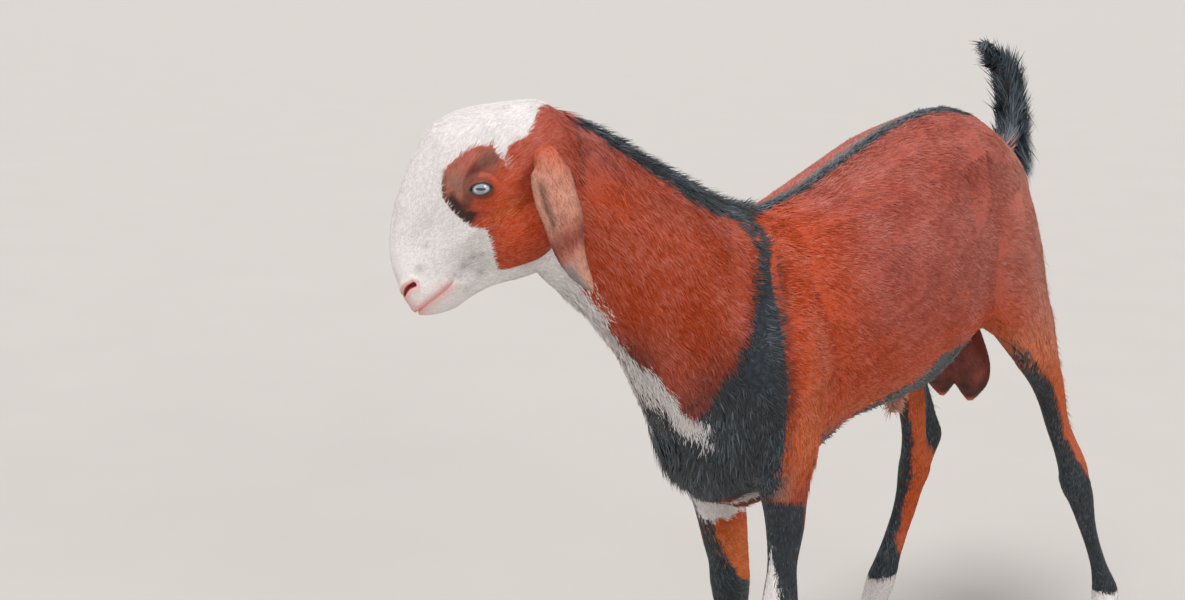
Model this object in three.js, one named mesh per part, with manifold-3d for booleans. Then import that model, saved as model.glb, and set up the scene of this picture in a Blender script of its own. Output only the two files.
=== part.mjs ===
// A polled buck goat standing with its head turned to its right.
// Millimetres. It faces -Y, its left side is +X, +Z is up and the ground is z = 0.
import * as THREE from 'three';
import Module from 'manifold-3d';

const wasm = await Module();
wasm.setup();

const GAP = 0.3;                       // clearance between neighbouring pieces
const CROUP_HEIGHT = 782;              // top of the rump above the ground
const WITHERS_HEIGHT = 708;            // top of the shoulders above the ground
const BACK_DIP = 704;                  // just behind the withers
const KEEL_HEIGHT = 358;               // lowest hair of the breast between the forelegs
const BELLY_HEIGHT = 430;              // underside of the barrel
const RIB_HALF_WIDTH = 122;            // widest half-breadth of the barrel
const HEAD_CENTRE = [-60, -539, 761];  // between the two eyes
const HEAD_YAW = 53;                   // degrees turned to the goat's right
const HEAD_PITCH = 49;                 // degrees the face points below level
const EYE_RADIUS = 13;
const EYE_OFFSET = 47;                 // eyeball centre from the head's middle plane
const EAR_THICKNESS = 5;
const EAR_AROUND = 10;                 // corners of an ear's section
const HOOF_TOP = 34;                   // coronet above the ground
const KNEE_HEIGHT = 248;
const HOCK_CUT = 252;
const FETLOCK_CUT = 106;
const EAR_CUT = 54;                    // plane of the ear's root from the head's middle
const ELBOW_CUT = 428;
const STIFLE_CUT = 446;

const RED = 0x9a4630;
const BLACK = 0x2c3436;
const WHITE = 0xe9e4df;
const TAN = 0xa9694c;
const HORN = 0x4a4038;

const radians = (degrees) => degrees * Math.PI / 180;
const signedPower = (value, power) => Math.sign(value) * Math.abs(value) ** power;

// Heading, left and up directions of a section turned by yaw and leaning back by lean.
function sectionFrame(yaw, lean) {
  const turn = radians(yaw);
  const tip = radians(lean);
  const heading = new THREE.Vector3(-Math.sin(turn), -Math.cos(turn), 0);
  const left = new THREE.Vector3(Math.cos(turn), -Math.sin(turn), 0);
  const up = heading.clone().multiplyScalar(-Math.sin(tip));
  up.z = Math.cos(tip);
  return { heading, left, up };
}

// Catmull-Rom value through equal-length rows of numbers.
function between(rows, index, t) {
  const row = (i) => rows[Math.min(Math.max(i, 0), rows.length - 1)];
  const [a, b, c, d] = [row(index - 1), row(index), row(index + 1), row(index + 2)];
  return b.map((value, k) => {
    const slope0 = (c[k] - a[k]) / 2;
    const slope1 = (d[k] - b[k]) / 2;
    const rise = c[k] - b[k];
    const square = (3 * rise - 2 * slope0 - slope1) * t * t;
    const cube = (slope0 + slope1 - 2 * rise) * t * t * t;
    return value + slope0 * t + square + cube;
  });
}

// One ring: x y z yaw lean half-width up down squareness taper bend.
function ring(row, around) {
  const [x, y, z, yaw, lean, wide, rise, fall, square, taper = 0, bend = 0] = row;
  const { left, up } = sectionFrame(yaw, lean);
  const points = [];
  for (let k = 0; k < around; k += 1) {
    const angle = 2 * Math.PI * k / around;
    const level = signedPower(Math.sin(angle), 2 / square);
    const reach = signedPower(Math.cos(angle), 2 / square);
    const narrow = 1 - taper * Math.max(0, -level) ** 1.5;
    const across = wide * reach * narrow;
    const high = level * (level > 0 ? rise : fall) + bend * reach * reach;
    const point = new THREE.Vector3(x, y, z);
    point.addScaledVector(left, across);
    point.addScaledVector(up, high);
    points.push(point);
  }
  return points;
}

// A closed solid through a list of ring rows.
function loft(rows, around, steps) {
  const rings = [];
  for (let i = 0; i < rows.length - 1; i += 1) {
    for (let s = 0; s < steps; s += 1) {
      rings.push(ring(between(rows, i, s / steps), around));
    }
  }
  rings.push(ring(rows[rows.length - 1], around));
  return skinRings(rings, around);
}

function skinRings(rings, around) {
  const vertices = rings.flat();
  const faces = [];
  for (let i = 0; i < rings.length - 1; i += 1) {
    for (let k = 0; k < around; k += 1) {
      const next = (k + 1) % around;
      const a = i * around + k;
      const b = i * around + next;
      faces.push([a, b, b + around], [a, b + around, a + around]);
    }
  }
  capRing(vertices, faces, rings[0], 0, true);
  capRing(vertices, faces, rings[rings.length - 1], (rings.length - 1) * around, false);
  return solid(vertices, faces);
}

function capRing(vertices, faces, points, start, reversed) {
  const middle = new THREE.Vector3();
  points.forEach((point) => middle.addScaledVector(point, 1 / points.length));
  const centre = vertices.length;
  vertices.push(middle);
  points.forEach((_, k) => {
    const next = (k + 1) % points.length;
    const face = reversed ? [centre, start + next, start + k] : [centre, start + k, start + next];
    faces.push(face);
  });
}

// Manifold solid from points and triangles, turned to face outward.
function solid(vertices, faces) {
  let volume = 0;
  faces.forEach(([a, b, c]) => {
    volume += vertices[a].dot(vertices[b].clone().cross(vertices[c]));
  });
  const turned = volume < 0 ? faces.map(([a, b, c]) => [a, c, b]) : faces;
  const mesh = new wasm.Mesh({
    numProp: 3,
    vertProperties: Float32Array.from(vertices.flatMap((v) => [v.x, v.y, v.z])),
    triVerts: Uint32Array.from(turned.flat()),
  });
  return new wasm.Manifold(mesh);
}

// Manifold solid from a closed three.js geometry.
function fromGeometry(geometry) {
  const positions = geometry.getAttribute('position');
  const seen = new Map();
  const vertices = [];
  const indexOf = [];
  for (let i = 0; i < positions.count; i += 1) {
    const point = new THREE.Vector3().fromBufferAttribute(positions, i);
    const key = point.toArray().map((value) => value.toFixed(4)).join();
    if (!seen.has(key)) {
      seen.set(key, vertices.length);
      vertices.push(point);
    }
    indexOf.push(seen.get(key));
  }
  const order = geometry.index ? Array.from(geometry.index.array) : indexOf.map((_, i) => i);
  const faces = [];
  for (let i = 0; i < order.length; i += 3) {
    const face = [indexOf[order[i]], indexOf[order[i + 1]], indexOf[order[i + 2]]];
    if (new Set(face).size === 3) {
      faces.push(face);
    }
  }
  return solid(vertices, faces);
}

// Ellipsoid with half-axes along left, up and heading of a section frame.
function ellipsoid(centre, yaw, lean, wide, high, long, detail = 14) {
  const { left, up } = sectionFrame(yaw, lean);
  const along = left.clone().cross(up);
  const geometry = new THREE.SphereGeometry(1, detail, Math.round(detail * 0.6));
  const matrix = new THREE.Matrix4().makeBasis(
    left.multiplyScalar(wide), up.multiplyScalar(high), along.multiplyScalar(long));
  matrix.setPosition(centre);
  geometry.applyMatrix4(matrix);
  return fromGeometry(geometry);
}

function eyeball(centre, radius) {
  return ellipsoid(centre, HEAD_YAW, -HEAD_PITCH, radius, radius, radius, 10);
}

const join = (...bodies) => bodies.reduce((whole, body) => whole.add(body));

// ---- trunk ----

// Rows: y, middle height, half-width, top, bottom, squareness, taper of the underside.
const trunkRows = [
  [-338, 492, 18, 516, 468, 2, 0],
  [-318, 500, 50, 590, 428, 2, 0.1],
  [-278, 520, 76, 662, 388, 2, 0.25],
  [-232, 545, 90, WITHERS_HEIGHT - 2, 367, 2, 0.4],
  [-180, 552, 96, BACK_DIP - 2, KEEL_HEIGHT, 2, 0.45],
  [-125, 556, 105, BACK_DIP + 4, 388, 2.1, 0.3],
  [-65, 560, 115, 723, BELLY_HEIGHT - 4, 2.1, 0.15],
  [10, 566, RIB_HALF_WIDTH, 745, BELLY_HEIGHT, 2.1, 0.05],
  [85, 575, 121, 767, BELLY_HEIGHT + 2, 2.1, 0.05],
  [150, 590, 112, 778, 446, 2.1, 0.05],
  [210, 608, 101, CROUP_HEIGHT - 2, 470, 2.1, 0],
  [265, 625, 94, 771, 500, 2.1, 0],
  [315, 640, 80, 746, 540, 2.1, 0],
  [355, 648, 58, 716, 578, 2, 0],
  [385, 652, 28, 684, 612, 2, 0],
];

function trunkSolid() {
  const rows = trunkRows.map(([y, middle, wide, top, bottom, square, taper]) => [
    0, y, middle, 0, 0, wide, top - middle, middle - bottom, square, taper]);
  return loft(rows, 16, 1);
}

// ---- neck ----

// Rows: x, y, z, yaw, lean, half-width, rise above and fall below the middle line.
const neckRows = [
  [0, -235, 545, 0, 24, 76, 148, 132],
  [0, -278, 580, 0, 25, 74, 143, 130],
  [0, -325, 620, 0, 27, 65, 119, 111],
  [0, -368, 659, 2, 25, 57, 102, 98],
  [-6, -412, 692, 8, 19, 51, 93, 92],
  [-16, -453, 722, 18, 14, 47, 88, 87],
  [-30, -492, 748, 30, 6, 44, 83, 83],
  [-46, -520, 762, 40, -8, 40, 66, 70],
];

function neckSolid(grow) {
  return loft(neckRows.map(([x, y, z, yaw, lean, wide, rise, fall]) => [
    x, y, z, yaw, lean, wide + grow, rise + grow, fall + grow, 2.1, 0.15]), 18, 1);
}

// ---- head ----

const face = sectionFrame(HEAD_YAW, -HEAD_PITCH);
face.along = face.up.clone().cross(face.left).negate();

// World point of (forward, up, left) measured from the head's centre.
function headPoint(forward, high, aside) {
  const point = new THREE.Vector3(...HEAD_CENTRE);
  point.addScaledVector(face.along, forward);
  point.addScaledVector(face.up, high);
  point.addScaledVector(face.left, aside);
  return point;
}

// Rows: distance along the face, middle, top and bottom of the section, half-width, taper.
const headRows = [
  [-92, -8, 8, -24, 18, 0],
  [-84, -8, 22, -42, 34, 0],
  [-64, -4, 40, -62, 46, 0.1],
  [-38, 4, 62, -74, 51, 0.25],
  [-6, 6, 76, -84, 52, 0.38],
  [26, 2, 71, -96, 46, 0.45],
  [48, -4, 65, -88, 41, 0.42],
  [70, -10, 57, -73, 37, 0.35],
  [90, -14, 47, -64, 34, 0.25],
  [108, -18, 35, -58, 32, 0.15],
  [123, -22, 19, -52, 30, 0.1],
  [134, -26, -2, -46, 26, 0.05],
  [142, -28, -17, -38, 16, 0],
];

function headSolid() {
  const rows = headRows.map(([forward, middle, top, bottom, wide, taper]) => {
    const at = headPoint(forward, middle, 0).toArray();
    return [...at, HEAD_YAW, -HEAD_PITCH, wide, top - middle, middle - bottom, 2.2, taper];
  });
  const parts = [loft(rows, 16, 1)];
  [-1, 1].forEach((side) => {
    const frame = [HEAD_YAW, -HEAD_PITCH];
    parts.push(ellipsoid(headPoint(-2, 6, 41 * side), ...frame, 16, 22, 26, 8));
    parts.push(ellipsoid(headPoint(8, -50, 24 * side), ...frame, 20, 38, 36, 8));
    parts.push(ellipsoid(headPoint(112, -14, 20 * side), ...frame, 14, 17, 20, 7));
  });
  return join(...parts);
}

// ---- limbs ----

// Rows: z, x, y, half-depth, half-width, degrees the toe turns outward.
const foreLeft = [
  [655, 44, -214, 40, 20, 0],
  [610, 60, -224, 60, 32, 0],
  [565, 68, -232, 66, 37, 0],
  [510, 70, -230, 66, 38, 0],
  [460, 70, -222, 54, 35, 0],
  [420, 68, -220, 41, 29, 0],
  [388, 66, -213, 32, 23, 0],
  [352, 65, -209, 26, 20, 0],
  [312, 65, -213, 20, 17, 4],
  [280, 65, -215, 22, 20, 6],
  [KNEE_HEIGHT, 65, -216, 24, 23, 8],
  [218, 66, -212, 20, 19, 8],
  [190, 66, -209, 16, 14, 8],
  [150, 66, -208, 15, 13, 8],
  [112, 66, -208, 17, 15, 8],
  [86, 67, -208, 20, 19, 8],
  [62, 67, -215, 18, 18, 8],
  [44, 68, -224, 20, 19, 8],
  [HOOF_TOP + GAP, 68, -228, 23, 21, 8],
];

const foreRight = [
  [655, -44, -204, 40, 20, 0],
  [610, -60, -208, 60, 32, 0],
  [565, -68, -210, 66, 37, 0],
  [510, -68, -200, 66, 38, 0],
  [460, -65, -190, 56, 35, 0],
  [420, -60, -186, 44, 30, 6],
  [380, -56, -178, 38, 26, 10],
  [340, -52, -168, 35, 24, 12],
  [300, -51, -159, 31, 22, 12],
  [272, -50, -153, 27, 22, 12],
  [KNEE_HEIGHT, -50, -150, 26, 23, 12],
  [218, -50, -147, 22, 20, 12],
  [190, -50, -144, 16, 14, 12],
  [150, -50, -141, 15, 13, 12],
  [112, -51, -138, 17, 15, 12],
  [86, -51, -137, 20, 19, 12],
  [62, -52, -144, 18, 18, 12],
  [44, -53, -153, 20, 19, 12],
  [HOOF_TOP + GAP, -53, -157, 23, 21, 12],
];

const hindLeft = [
  [715, 38, 256, 48, 22, 0],
  [670, 58, 248, 76, 37, 0],
  [618, 70, 238, 91, 45, 0],
  [560, 76, 252, 88, 46, 0],
  [505, 84, 288, 72, 40, 4],
  [474, 92, 306, 57, 33, 8],
  [446, 99, 318, 46, 28, 10],
  [418, 102, 339, 36, 23, 12],
  [388, 105, 354, 28, 19, 14],
  [350, 108, 368, 22, 16, 16],
  [315, 111, 388, 20, 16, 18],
  [285, 113, 408, 23, 19, 20],
  [HOCK_CUT, 115, 425, 27, 22, 20],
  [226, 117, 440, 23, 18, 20],
  [195, 120, 453, 20, 14, 22],
  [160, 123, 471, 19, 12, 22],
  [125, 127, 488, 20, 13, 22],
  [96, 131, 500, 22, 18, 22],
  [80, 133, 501, 22, 20, 22],
  [60, 137, 491, 19, 19, 22],
  [44, 141, 480, 20, 20, 22],
  [HOOF_TOP + GAP, 143, 475, 24, 21, 22],
];

const hindRight = [
  [715, -38, 250, 48, 22, 0],
  [670, -58, 240, 76, 37, 0],
  [618, -70, 227, 91, 45, 0],
  [560, -78, 220, 90, 46, 0],
  [505, -84, 224, 77, 41, 4],
  [474, -86, 236, 62, 35, 8],
  [446, -86, 254, 49, 29, 10],
  [410, -84, 284, 36, 23, 12],
  [375, -82, 309, 28, 18, 14],
  [340, -83, 322, 23, 15, 16],
  [310, -85, 331, 21, 15, 18],
  [282, -88, 342, 24, 18, 20],
  [HOCK_CUT, -92, 347, 26, 20, 20],
  [226, -96, 344, 22, 16, 20],
  [195, -100, 338, 21, 13, 20],
  [160, -105, 326, 21, 12, 20],
  [130, -109, 314, 22, 14, 20],
  [106, -113, 307, 24, 18, 20],
  [86, -116, 303, 23, 20, 20],
  [64, -119, 293, 19, 19, 20],
  [46, -122, 283, 20, 20, 20],
  [HOOF_TOP + GAP, -124, 278, 24, 21, 20],
];

// Tendon, the web of skin before it and the point of the hock: the same columns as a limb.
const heelLeft = [
  [440, 102, 335, 36, 17, 12],
  [395, 105, 364, 29, 12, 16],
  [355, 108, 384, 27, 9, 18],
  [325, 111, 403, 26, 9, 20],
  [300, 113, 420, 25, 11.5, 20],
  [276, 115, 430, 22, 13, 20],
  [240, 117, 441, 18, 13, 20],
  [205, 119, 455, 13, 11, 20],
];

const heelRight = [
  [440, -84, 270, 38, 18, 12],
  [395, -83, 306, 33, 12, 16],
  [355, -84, 335, 30, 9, 18],
  [325, -86, 356, 29, 9, 20],
  [300, -88, 370, 30, 11.5, 20],
  [276, -90, 366, 24, 12.5, 20],
  [240, -94, 360, 17, 12, 20],
  [205, -99, 350, 13, 10, 20],
];

function limbSolid(rows, side, around) {
  return loft(rows.map(([z, x, y, deep, wide, turn]) => [
    x, y, z, -turn * side, -90, wide, deep, deep, 2.1]), around, 1);
}

// ---- feet ----

// Claw outline from sole to coronet: z, front, back, half-width.
const clawProfile = [
  [0, 33, -19, 10],
  [10, 28, -21, 10.6],
  [22, 20, -23, 10.4],
  [HOOF_TOP, 12, -22, 9.4],
];

// Direction of the toe and of the goat's left for one foot.
function footAxes(rows, side) {
  const last = rows[rows.length - 1];
  const { heading, left } = sectionFrame(-last[5] * side, 0);
  return { centre: new THREE.Vector3(last[1], last[2], 0), heading, left, turn: -last[5] * side };
}

function claw(foot, aside) {
  const splay = foot.turn - Math.sign(aside) * 5;
  const rows = clawProfile.map(([z, front, back, wide]) => {
    const at = foot.centre.clone();
    at.addScaledVector(foot.left, aside);
    at.addScaledVector(sectionFrame(splay, 0).heading, (front + back) / 2);
    const deep = (front - back) / 2;
    return [at.x, at.y, z, splay, -90, wide, deep, deep, 2.3];
  });
  return loft(rows, 10, 1);
}

// Small horn behind the fetlock, standing out of the limb at the given row.
function dewclaw(row, side, aside, grow) {
  const [z, x, y, deep, , turn] = row;
  const { heading, left } = sectionFrame(-turn * side, 0);
  const root = new THREE.Vector3(x, y, z).addScaledVector(left, aside);
  const profile = [[4, 5.5, 0], [-4, 6, 4], [-13, 2.5, 13]];
  return loft(profile.map(([inward, size, drop]) => {
    const at = root.clone().addScaledVector(heading, inward - deep);
    const r = size + grow;
    return [at.x, at.y, z - drop, -turn * side, 40, r, r, r, 2];
  }), 6, 1);
}

// ---- ears ----

// Rows in the head's own measure: forward, up, aside, half-width.
const earRows = [
  [-58, -18, 38, 13],
  [-58, -27, 56, 15],
  [-52, -40, 62, 19],
  [-41, -56, 65, 20],
  [-30, -74, 66, 19],
  [-15, -93, 66, 15.5],
  [-5, -111, 64, 12],
  [0, -127, 61, 8],
  [2, -137, 59, 3],
];

// The right ear lies a little further out, against the bent neck.
function earSolid(side) {
  const push = side > 0 ? 0 : 1;
  const rows = earRows.map(([forward, high, aside, wide], i) => {
    const out = push * Math.min(i * 9, 36);
    return [forward + out * 0.5, high, aside + out, wide];
  });
  const path = rows.map(([forward, high, aside]) => headPoint(forward, high, aside * side));
  const out = face.left.clone().multiplyScalar(side);
  const shaped = rows.map((row, i) => {
    const before = path[Math.max(i - 1, 0)];
    const after = path[Math.min(i + 1, path.length - 1)];
    const along = after.clone().sub(before).normalize();
    const across = along.clone().cross(out).normalize();
    const outward = across.clone().cross(along).normalize();
    return earRing(path[i], across, outward, row[3]);
  });
  return skinRings(shaped, EAR_AROUND);
}

// Thin curved section: the edges curl towards the cheek.
function earRing(at, across, outward, wide) {
  const points = [];
  for (let k = 0; k < EAR_AROUND; k += 1) {
    const angle = 2 * Math.PI * k / EAR_AROUND;
    const reach = Math.cos(angle);
    const thick = Math.min(EAR_THICKNESS / 2, wide * 0.8) * Math.sin(angle);
    const point = at.clone().addScaledVector(across, wide * reach);
    point.addScaledVector(outward, thick - wide * 0.35 * reach * reach);
    points.push(point);
  }
  return points;
}

// ---- tail, scrotum and sheath ----

// Rows: y, z, lean, half-width, half-depth.
const tailRows = [
  [352, 686, 50, 16, 20],
  [384, 694, 40, 20, 27],
  [404, 716, 70, 21, 30],
  [404, 748, 92, 20, 26],
  [393, 785, 105, 18, 24],
  [373, 820, 118, 15, 20],
  [344, 846, 140, 11, 15],
  [312, 860, 165, 6, 8],
  [288, 862, 178, 2.5, 3],
];

const tailSolid = () => loft(tailRows.map(([y, z, lean, wide, deep]) => [
  0, y, z, 180, lean, wide, deep, deep, 2]), 12, 1);

// Rows: z, x, y, half-depth, half-width.
const scrotumRows = [
  [545, 10, 266, 20, 14],
  [505, 13, 270, 23, 17],
  [470, 19, 277, 27, 22],
  [436, 23, 283, 29, 26],
  [410, 23, 286, 25, 22],
  [394, 21, 287, 14, 12],
  [383, 20, 287, 8, 7],
];

const scrotumLobe = (side) => loft(scrotumRows.map(([z, x, y, deep, wide]) => [
  x * side, y, z, 0, -90, wide, deep, deep, 2]), 12, 1);

const sheathRows = [
  [470, 140, 16, 13],
  [436, 132, 17, 13],
  [412, 124, 14, 12],
  [396, 119, 7, 7],
];

const sheathSolid = () => loft(sheathRows.map(([z, y, deep, wide]) => [
  0, y, z, 0, -90, wide, deep, deep, 2]), 10, 1);

// ---- side outlines of the upper limbs ----

const shoulderOutline = (shift) => [
  [-292 + shift, 625], [-185 + shift, 648], [-140 + shift, 560], [-150 + shift, 450],
  [-172 + shift, ELBOW_CUT - 6], [-270 + shift, ELBOW_CUT - 6], [-300 + shift, 500]];
const thighOutline = (shift) => [
  [175 + shift, 690], [320 + shift, 655], [375 + shift, 560], [385 + shift, STIFLE_CUT - 6],
  [225 + shift, STIFLE_CUT - 6], [150 + shift, 505], [130 + shift, 590]];

// ---- assembly ----

const object = new THREE.Group();
object.name = 'goat';

// Adds a solid as a named mesh.
function addNode(name, body, colour, roughness = 0.8) {
  const { vertProperties, triVerts } = body.getMesh();
  const geometry = new THREE.BufferGeometry();
  const positions = Float32Array.from(vertProperties);
  geometry.setAttribute('position', new THREE.BufferAttribute(positions, 3));
  geometry.setIndex(Array.from(triVerts));
  const plain = geometry.toNonIndexed();
  plain.computeVertexNormals();
  const material = new THREE.MeshStandardMaterial({ color: colour, roughness, metalness: 0 });
  const mesh = new THREE.Mesh(plain, material);
  mesh.name = name;
  object.add(mesh);
}

// Box given by its corner ranges along three directions from an origin.
function box(origin, axes, ranges, grow) {
  const sizes = ranges.map(([low, high]) => high - low + 2 * grow);
  const geometry = new THREE.BoxGeometry(...sizes);
  const centre = origin.clone();
  axes.forEach((axis, i) => centre.addScaledVector(axis, (ranges[i][0] + ranges[i][1]) / 2));
  const matrix = new THREE.Matrix4().makeBasis(...axes);
  matrix.setPosition(centre);
  geometry.applyMatrix4(matrix);
  return fromGeometry(geometry);
}

// Splits a body in two by a cutter that can be grown by the gap.
function split(body, cutter) {
  return [body.intersect(cutter(0)), body.subtract(cutter(GAP))];
}

// Splits a body by a plane: the part the normal points to, then the rest.
function splitByPlane(body, normal, point) {
  const n = normal.clone().normalize();
  const offset = n.dot(point);
  const front = body.trimByPlane(n.toArray(), offset + GAP / 2);
  const back = body.trimByPlane(n.clone().negate().toArray(), -offset + GAP / 2);
  return [front, back];
}

// Prism over a convex side outline of [y, z] points, from x = near to x = far.
function prism(outline, near, far, grow) {
  const middle = new THREE.Vector2();
  outline.forEach(([y, z]) => middle.add(new THREE.Vector2(y, z).divideScalar(outline.length)));
  const shape = new THREE.Shape(outline.map(([y, z]) => {
    const out = new THREE.Vector2(y, z).sub(middle);
    return out.multiplyScalar(1 + grow * 1.2 / out.length()).add(middle);
  }));
  const depth = far - near + 2 * grow;
  const geometry = new THREE.ExtrudeGeometry(shape, { depth, bevelEnabled: false });
  const matrix = new THREE.Matrix4().makeBasis(
    new THREE.Vector3(0, 1, 0), new THREE.Vector3(0, 0, 1), new THREE.Vector3(1, 0, 0));
  matrix.setPosition(near - grow, 0, 0);
  geometry.applyMatrix4(matrix);
  return fromGeometry(geometry);
}

const rectangle = (y0, y1, z0, z1) => [[y0, z0], [y1, z0], [y1, z1], [y0, z1]];

// x range of a cutter on one side of the body.
const sideRange = (side, inner, outer) => (side > 0 ? [inner, outer] : [-outer, -inner]);

const headAxes = [face.along, face.up, face.left];
const centre = new THREE.Vector3(...HEAD_CENTRE);
const sides = [['left', 1], ['right', -1]];

// Head with its ears, then each ear cut off a little outside the skull.
let skull = join(headSolid(), earSolid(1), earSolid(-1));
sides.forEach(([name, side]) => {
  const aside = side > 0 ? [EAR_CUT, 160] : [-160, -EAR_CUT];
  const ranges = [[-160, 60], [-220, -8], aside];
  const [ear, rest] = split(skull, (grow) => box(centre, headAxes, ranges, grow));
  const clear = side > 0 ? ear : ear.subtract(neckSolid(0.5));
  addNode(`ear_${name}`, clear, TAN);
  skull = rest;
});

// Eyeballs in their sockets, nostrils, and the lower jaw parted along the mouth.
sides.forEach(([name, side]) => {
  const at = headPoint(0, 0, EYE_OFFSET * side);
  skull = skull.subtract(eyeball(at, EYE_RADIUS + GAP));
  addNode(`eye_${name}`, eyeball(at, EYE_RADIUS), BLACK, 0.1);
  const nostril = headPoint(120, -11, 25 * side);
  skull = skull.subtract(ellipsoid(nostril, HEAD_YAW, -HEAD_PITCH, 8, 3, 8, 8));
});

const legs = {
  fore_left: limbSolid(foreLeft, 1, 12),
  fore_right: limbSolid(foreRight, -1, 12),
  hind_left: join(limbSolid(hindLeft, 1, 12), limbSolid(heelLeft, 1, 10)),
  hind_right: join(limbSolid(hindRight, -1, 12), limbSolid(heelRight, -1, 10)),
};
const legRows = {
  fore_left: foreLeft, fore_right: foreRight, hind_left: hindLeft, hind_right: hindRight };

let body = join(trunkSolid(), neckSolid(0), skull, tailSolid(), sheathSolid(),
  scrotumLobe(1), scrotumLobe(-1), ...Object.values(legs));
let piece;

[skull, body] = splitByPlane(body, new THREE.Vector3(-0.58, -0.81, -0.05),
  new THREE.Vector3(-22, -493, 760));
const jawTilt = new THREE.Vector3().addScaledVector(face.along, 0.993).addScaledVector(face.up, 0.115);
const jawUp = new THREE.Vector3().addScaledVector(face.along, -0.115).addScaledVector(face.up, 0.993);
[piece, skull] = split(skull, (grow) => box(
  headPoint(82, -38, 0), [jawTilt, jawUp, face.left], [[0, 90], [-60, 0], [-60, 60]], grow));
addNode('lower_jaw', piece, WHITE);
addNode('head', skull, WHITE);

[piece, body] = splitByPlane(body, new THREE.Vector3(0, -0.897, 0.443),
  new THREE.Vector3(0, -352, 455));
addNode('neck', piece, RED);

const tailOutline = [[352, 742], [425, 678], [500, 720], [500, 900], [240, 900], [240, 800]];
[piece, body] = split(body, (grow) => prism(tailOutline, -60, 60, grow));
addNode('tail', piece, BLACK);
[piece, body] = split(body, (grow) => prism(rectangle(252, 360, 360, 456), -54, 54, grow));
addNode('scrotum', piece, BLACK);
[piece, body] = split(body, (grow) => prism(rectangle(95, 165, 370, 425), -25, 25, grow));
addNode('sheath', piece, TAN);

const cuts = {
  fore: { inner: 26, names: ['forearm', 'shank', 'foot'], levels: [KNEE_HEIGHT, FETLOCK_CUT] },
  hind: { inner: 54, names: ['gaskin', 'shank', 'foot'], levels: [HOCK_CUT, FETLOCK_CUT] },
};
const lowerOutlines = {
  fore_left: rectangle(-282, -158, -5, ELBOW_CUT),
  fore_right: rectangle(-252, -95, -5, ELBOW_CUT),
  hind_left: rectangle(200, 620, -5, STIFLE_CUT),
  hind_right: rectangle(160, 520, -5, STIFLE_CUT),
};
const upperOutlines = {
  fore_left: shoulderOutline(0),
  fore_right: shoulderOutline(30),
  hind_left: thighOutline(0),
  hind_right: thighOutline(-58),
};

Object.keys(legs).forEach((name) => {
  const side = name.endsWith('left') ? 1 : -1;
  const cut = cuts[name.slice(0, 4)];
  const [near, far] = sideRange(side, cut.inner + (name === 'fore_left' ? 10 : 0), 260);
  let lower;
  let upper;
  [lower, body] = split(body, (grow) => prism(lowerOutlines[name], near, far, grow));
  const [upperNear, upperFar] = sideRange(side, 50, 200);
  [upper, body] = split(body, (grow) => prism(upperOutlines[name], upperNear, upperFar, grow));
  addNode(`${cut.names[0] === 'forearm' ? 'shoulder' : 'thigh'}_${name}`, upper, RED);
  const up = new THREE.Vector3(0, 0, 1);
  const rows = legRows[name];
  const dewRow = rows[rows.length - 3];
  const foot = footAxes(rows, side);
  let top;
  [top, lower] = splitByPlane(lower, up, new THREE.Vector3(0, 0, cut.levels[0]));
  addNode(`${cut.names[0]}_${name}`, top, RED);
  [top, lower] = splitByPlane(lower, up, new THREE.Vector3(0, 0, cut.levels[1]));
  addNode(`shank_${name}`, top, BLACK);
  [['a', 12], ['b', -12]].forEach(([letter, aside]) => {
    lower = lower.subtract(dewclaw(dewRow, side, aside * 0.75, GAP));
    addNode(`dewclaw_${name}_${letter}`, dewclaw(dewRow, side, aside * 0.75, 0), HORN, 0.5);
    addNode(`claw_${name}_${letter}`, claw(foot, aside), HORN, 0.5);
  });
  addNode(`foot_${name}`, lower, BLACK);
});
addNode('trunk', body, RED);

// The origin sits under the middle of the whole object.
const bounds = new THREE.Box3().setFromObject(object);
object.position.set(-(bounds.min.x + bounds.max.x) / 2, -(bounds.min.y + bounds.max.y) / 2, 0);

export default object;
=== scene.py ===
# A polled buck goat standing with its head turned to its right.
# Metres in the meshes; sizes below are in millimetres in the goat's own frame:
# it faces -y, its left side is +x, the ground is z = 0, x = 0 is the middle of the body.
import bmesh
import bpy
import numpy as np
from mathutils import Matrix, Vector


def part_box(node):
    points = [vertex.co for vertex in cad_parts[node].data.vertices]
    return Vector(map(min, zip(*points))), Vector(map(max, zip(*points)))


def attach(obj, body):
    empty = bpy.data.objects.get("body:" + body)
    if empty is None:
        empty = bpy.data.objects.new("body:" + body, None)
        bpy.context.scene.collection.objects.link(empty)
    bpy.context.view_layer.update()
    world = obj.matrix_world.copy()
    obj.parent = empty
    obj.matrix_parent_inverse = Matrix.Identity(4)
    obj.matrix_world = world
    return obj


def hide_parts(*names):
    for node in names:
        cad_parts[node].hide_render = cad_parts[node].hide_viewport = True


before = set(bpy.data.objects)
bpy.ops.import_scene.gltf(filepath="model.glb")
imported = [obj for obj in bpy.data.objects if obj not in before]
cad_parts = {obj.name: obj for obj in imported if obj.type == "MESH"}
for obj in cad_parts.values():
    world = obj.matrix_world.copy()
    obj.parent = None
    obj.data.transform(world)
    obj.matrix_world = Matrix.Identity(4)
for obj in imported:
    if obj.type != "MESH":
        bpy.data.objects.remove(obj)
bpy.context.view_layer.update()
mm = 0.001


def boxMiddle(node):
    # half the sum of the box's two corners
    low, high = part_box(node)
    return (np.array(low) + np.array(high)) / 2


# where the goat's own frame lies

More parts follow.
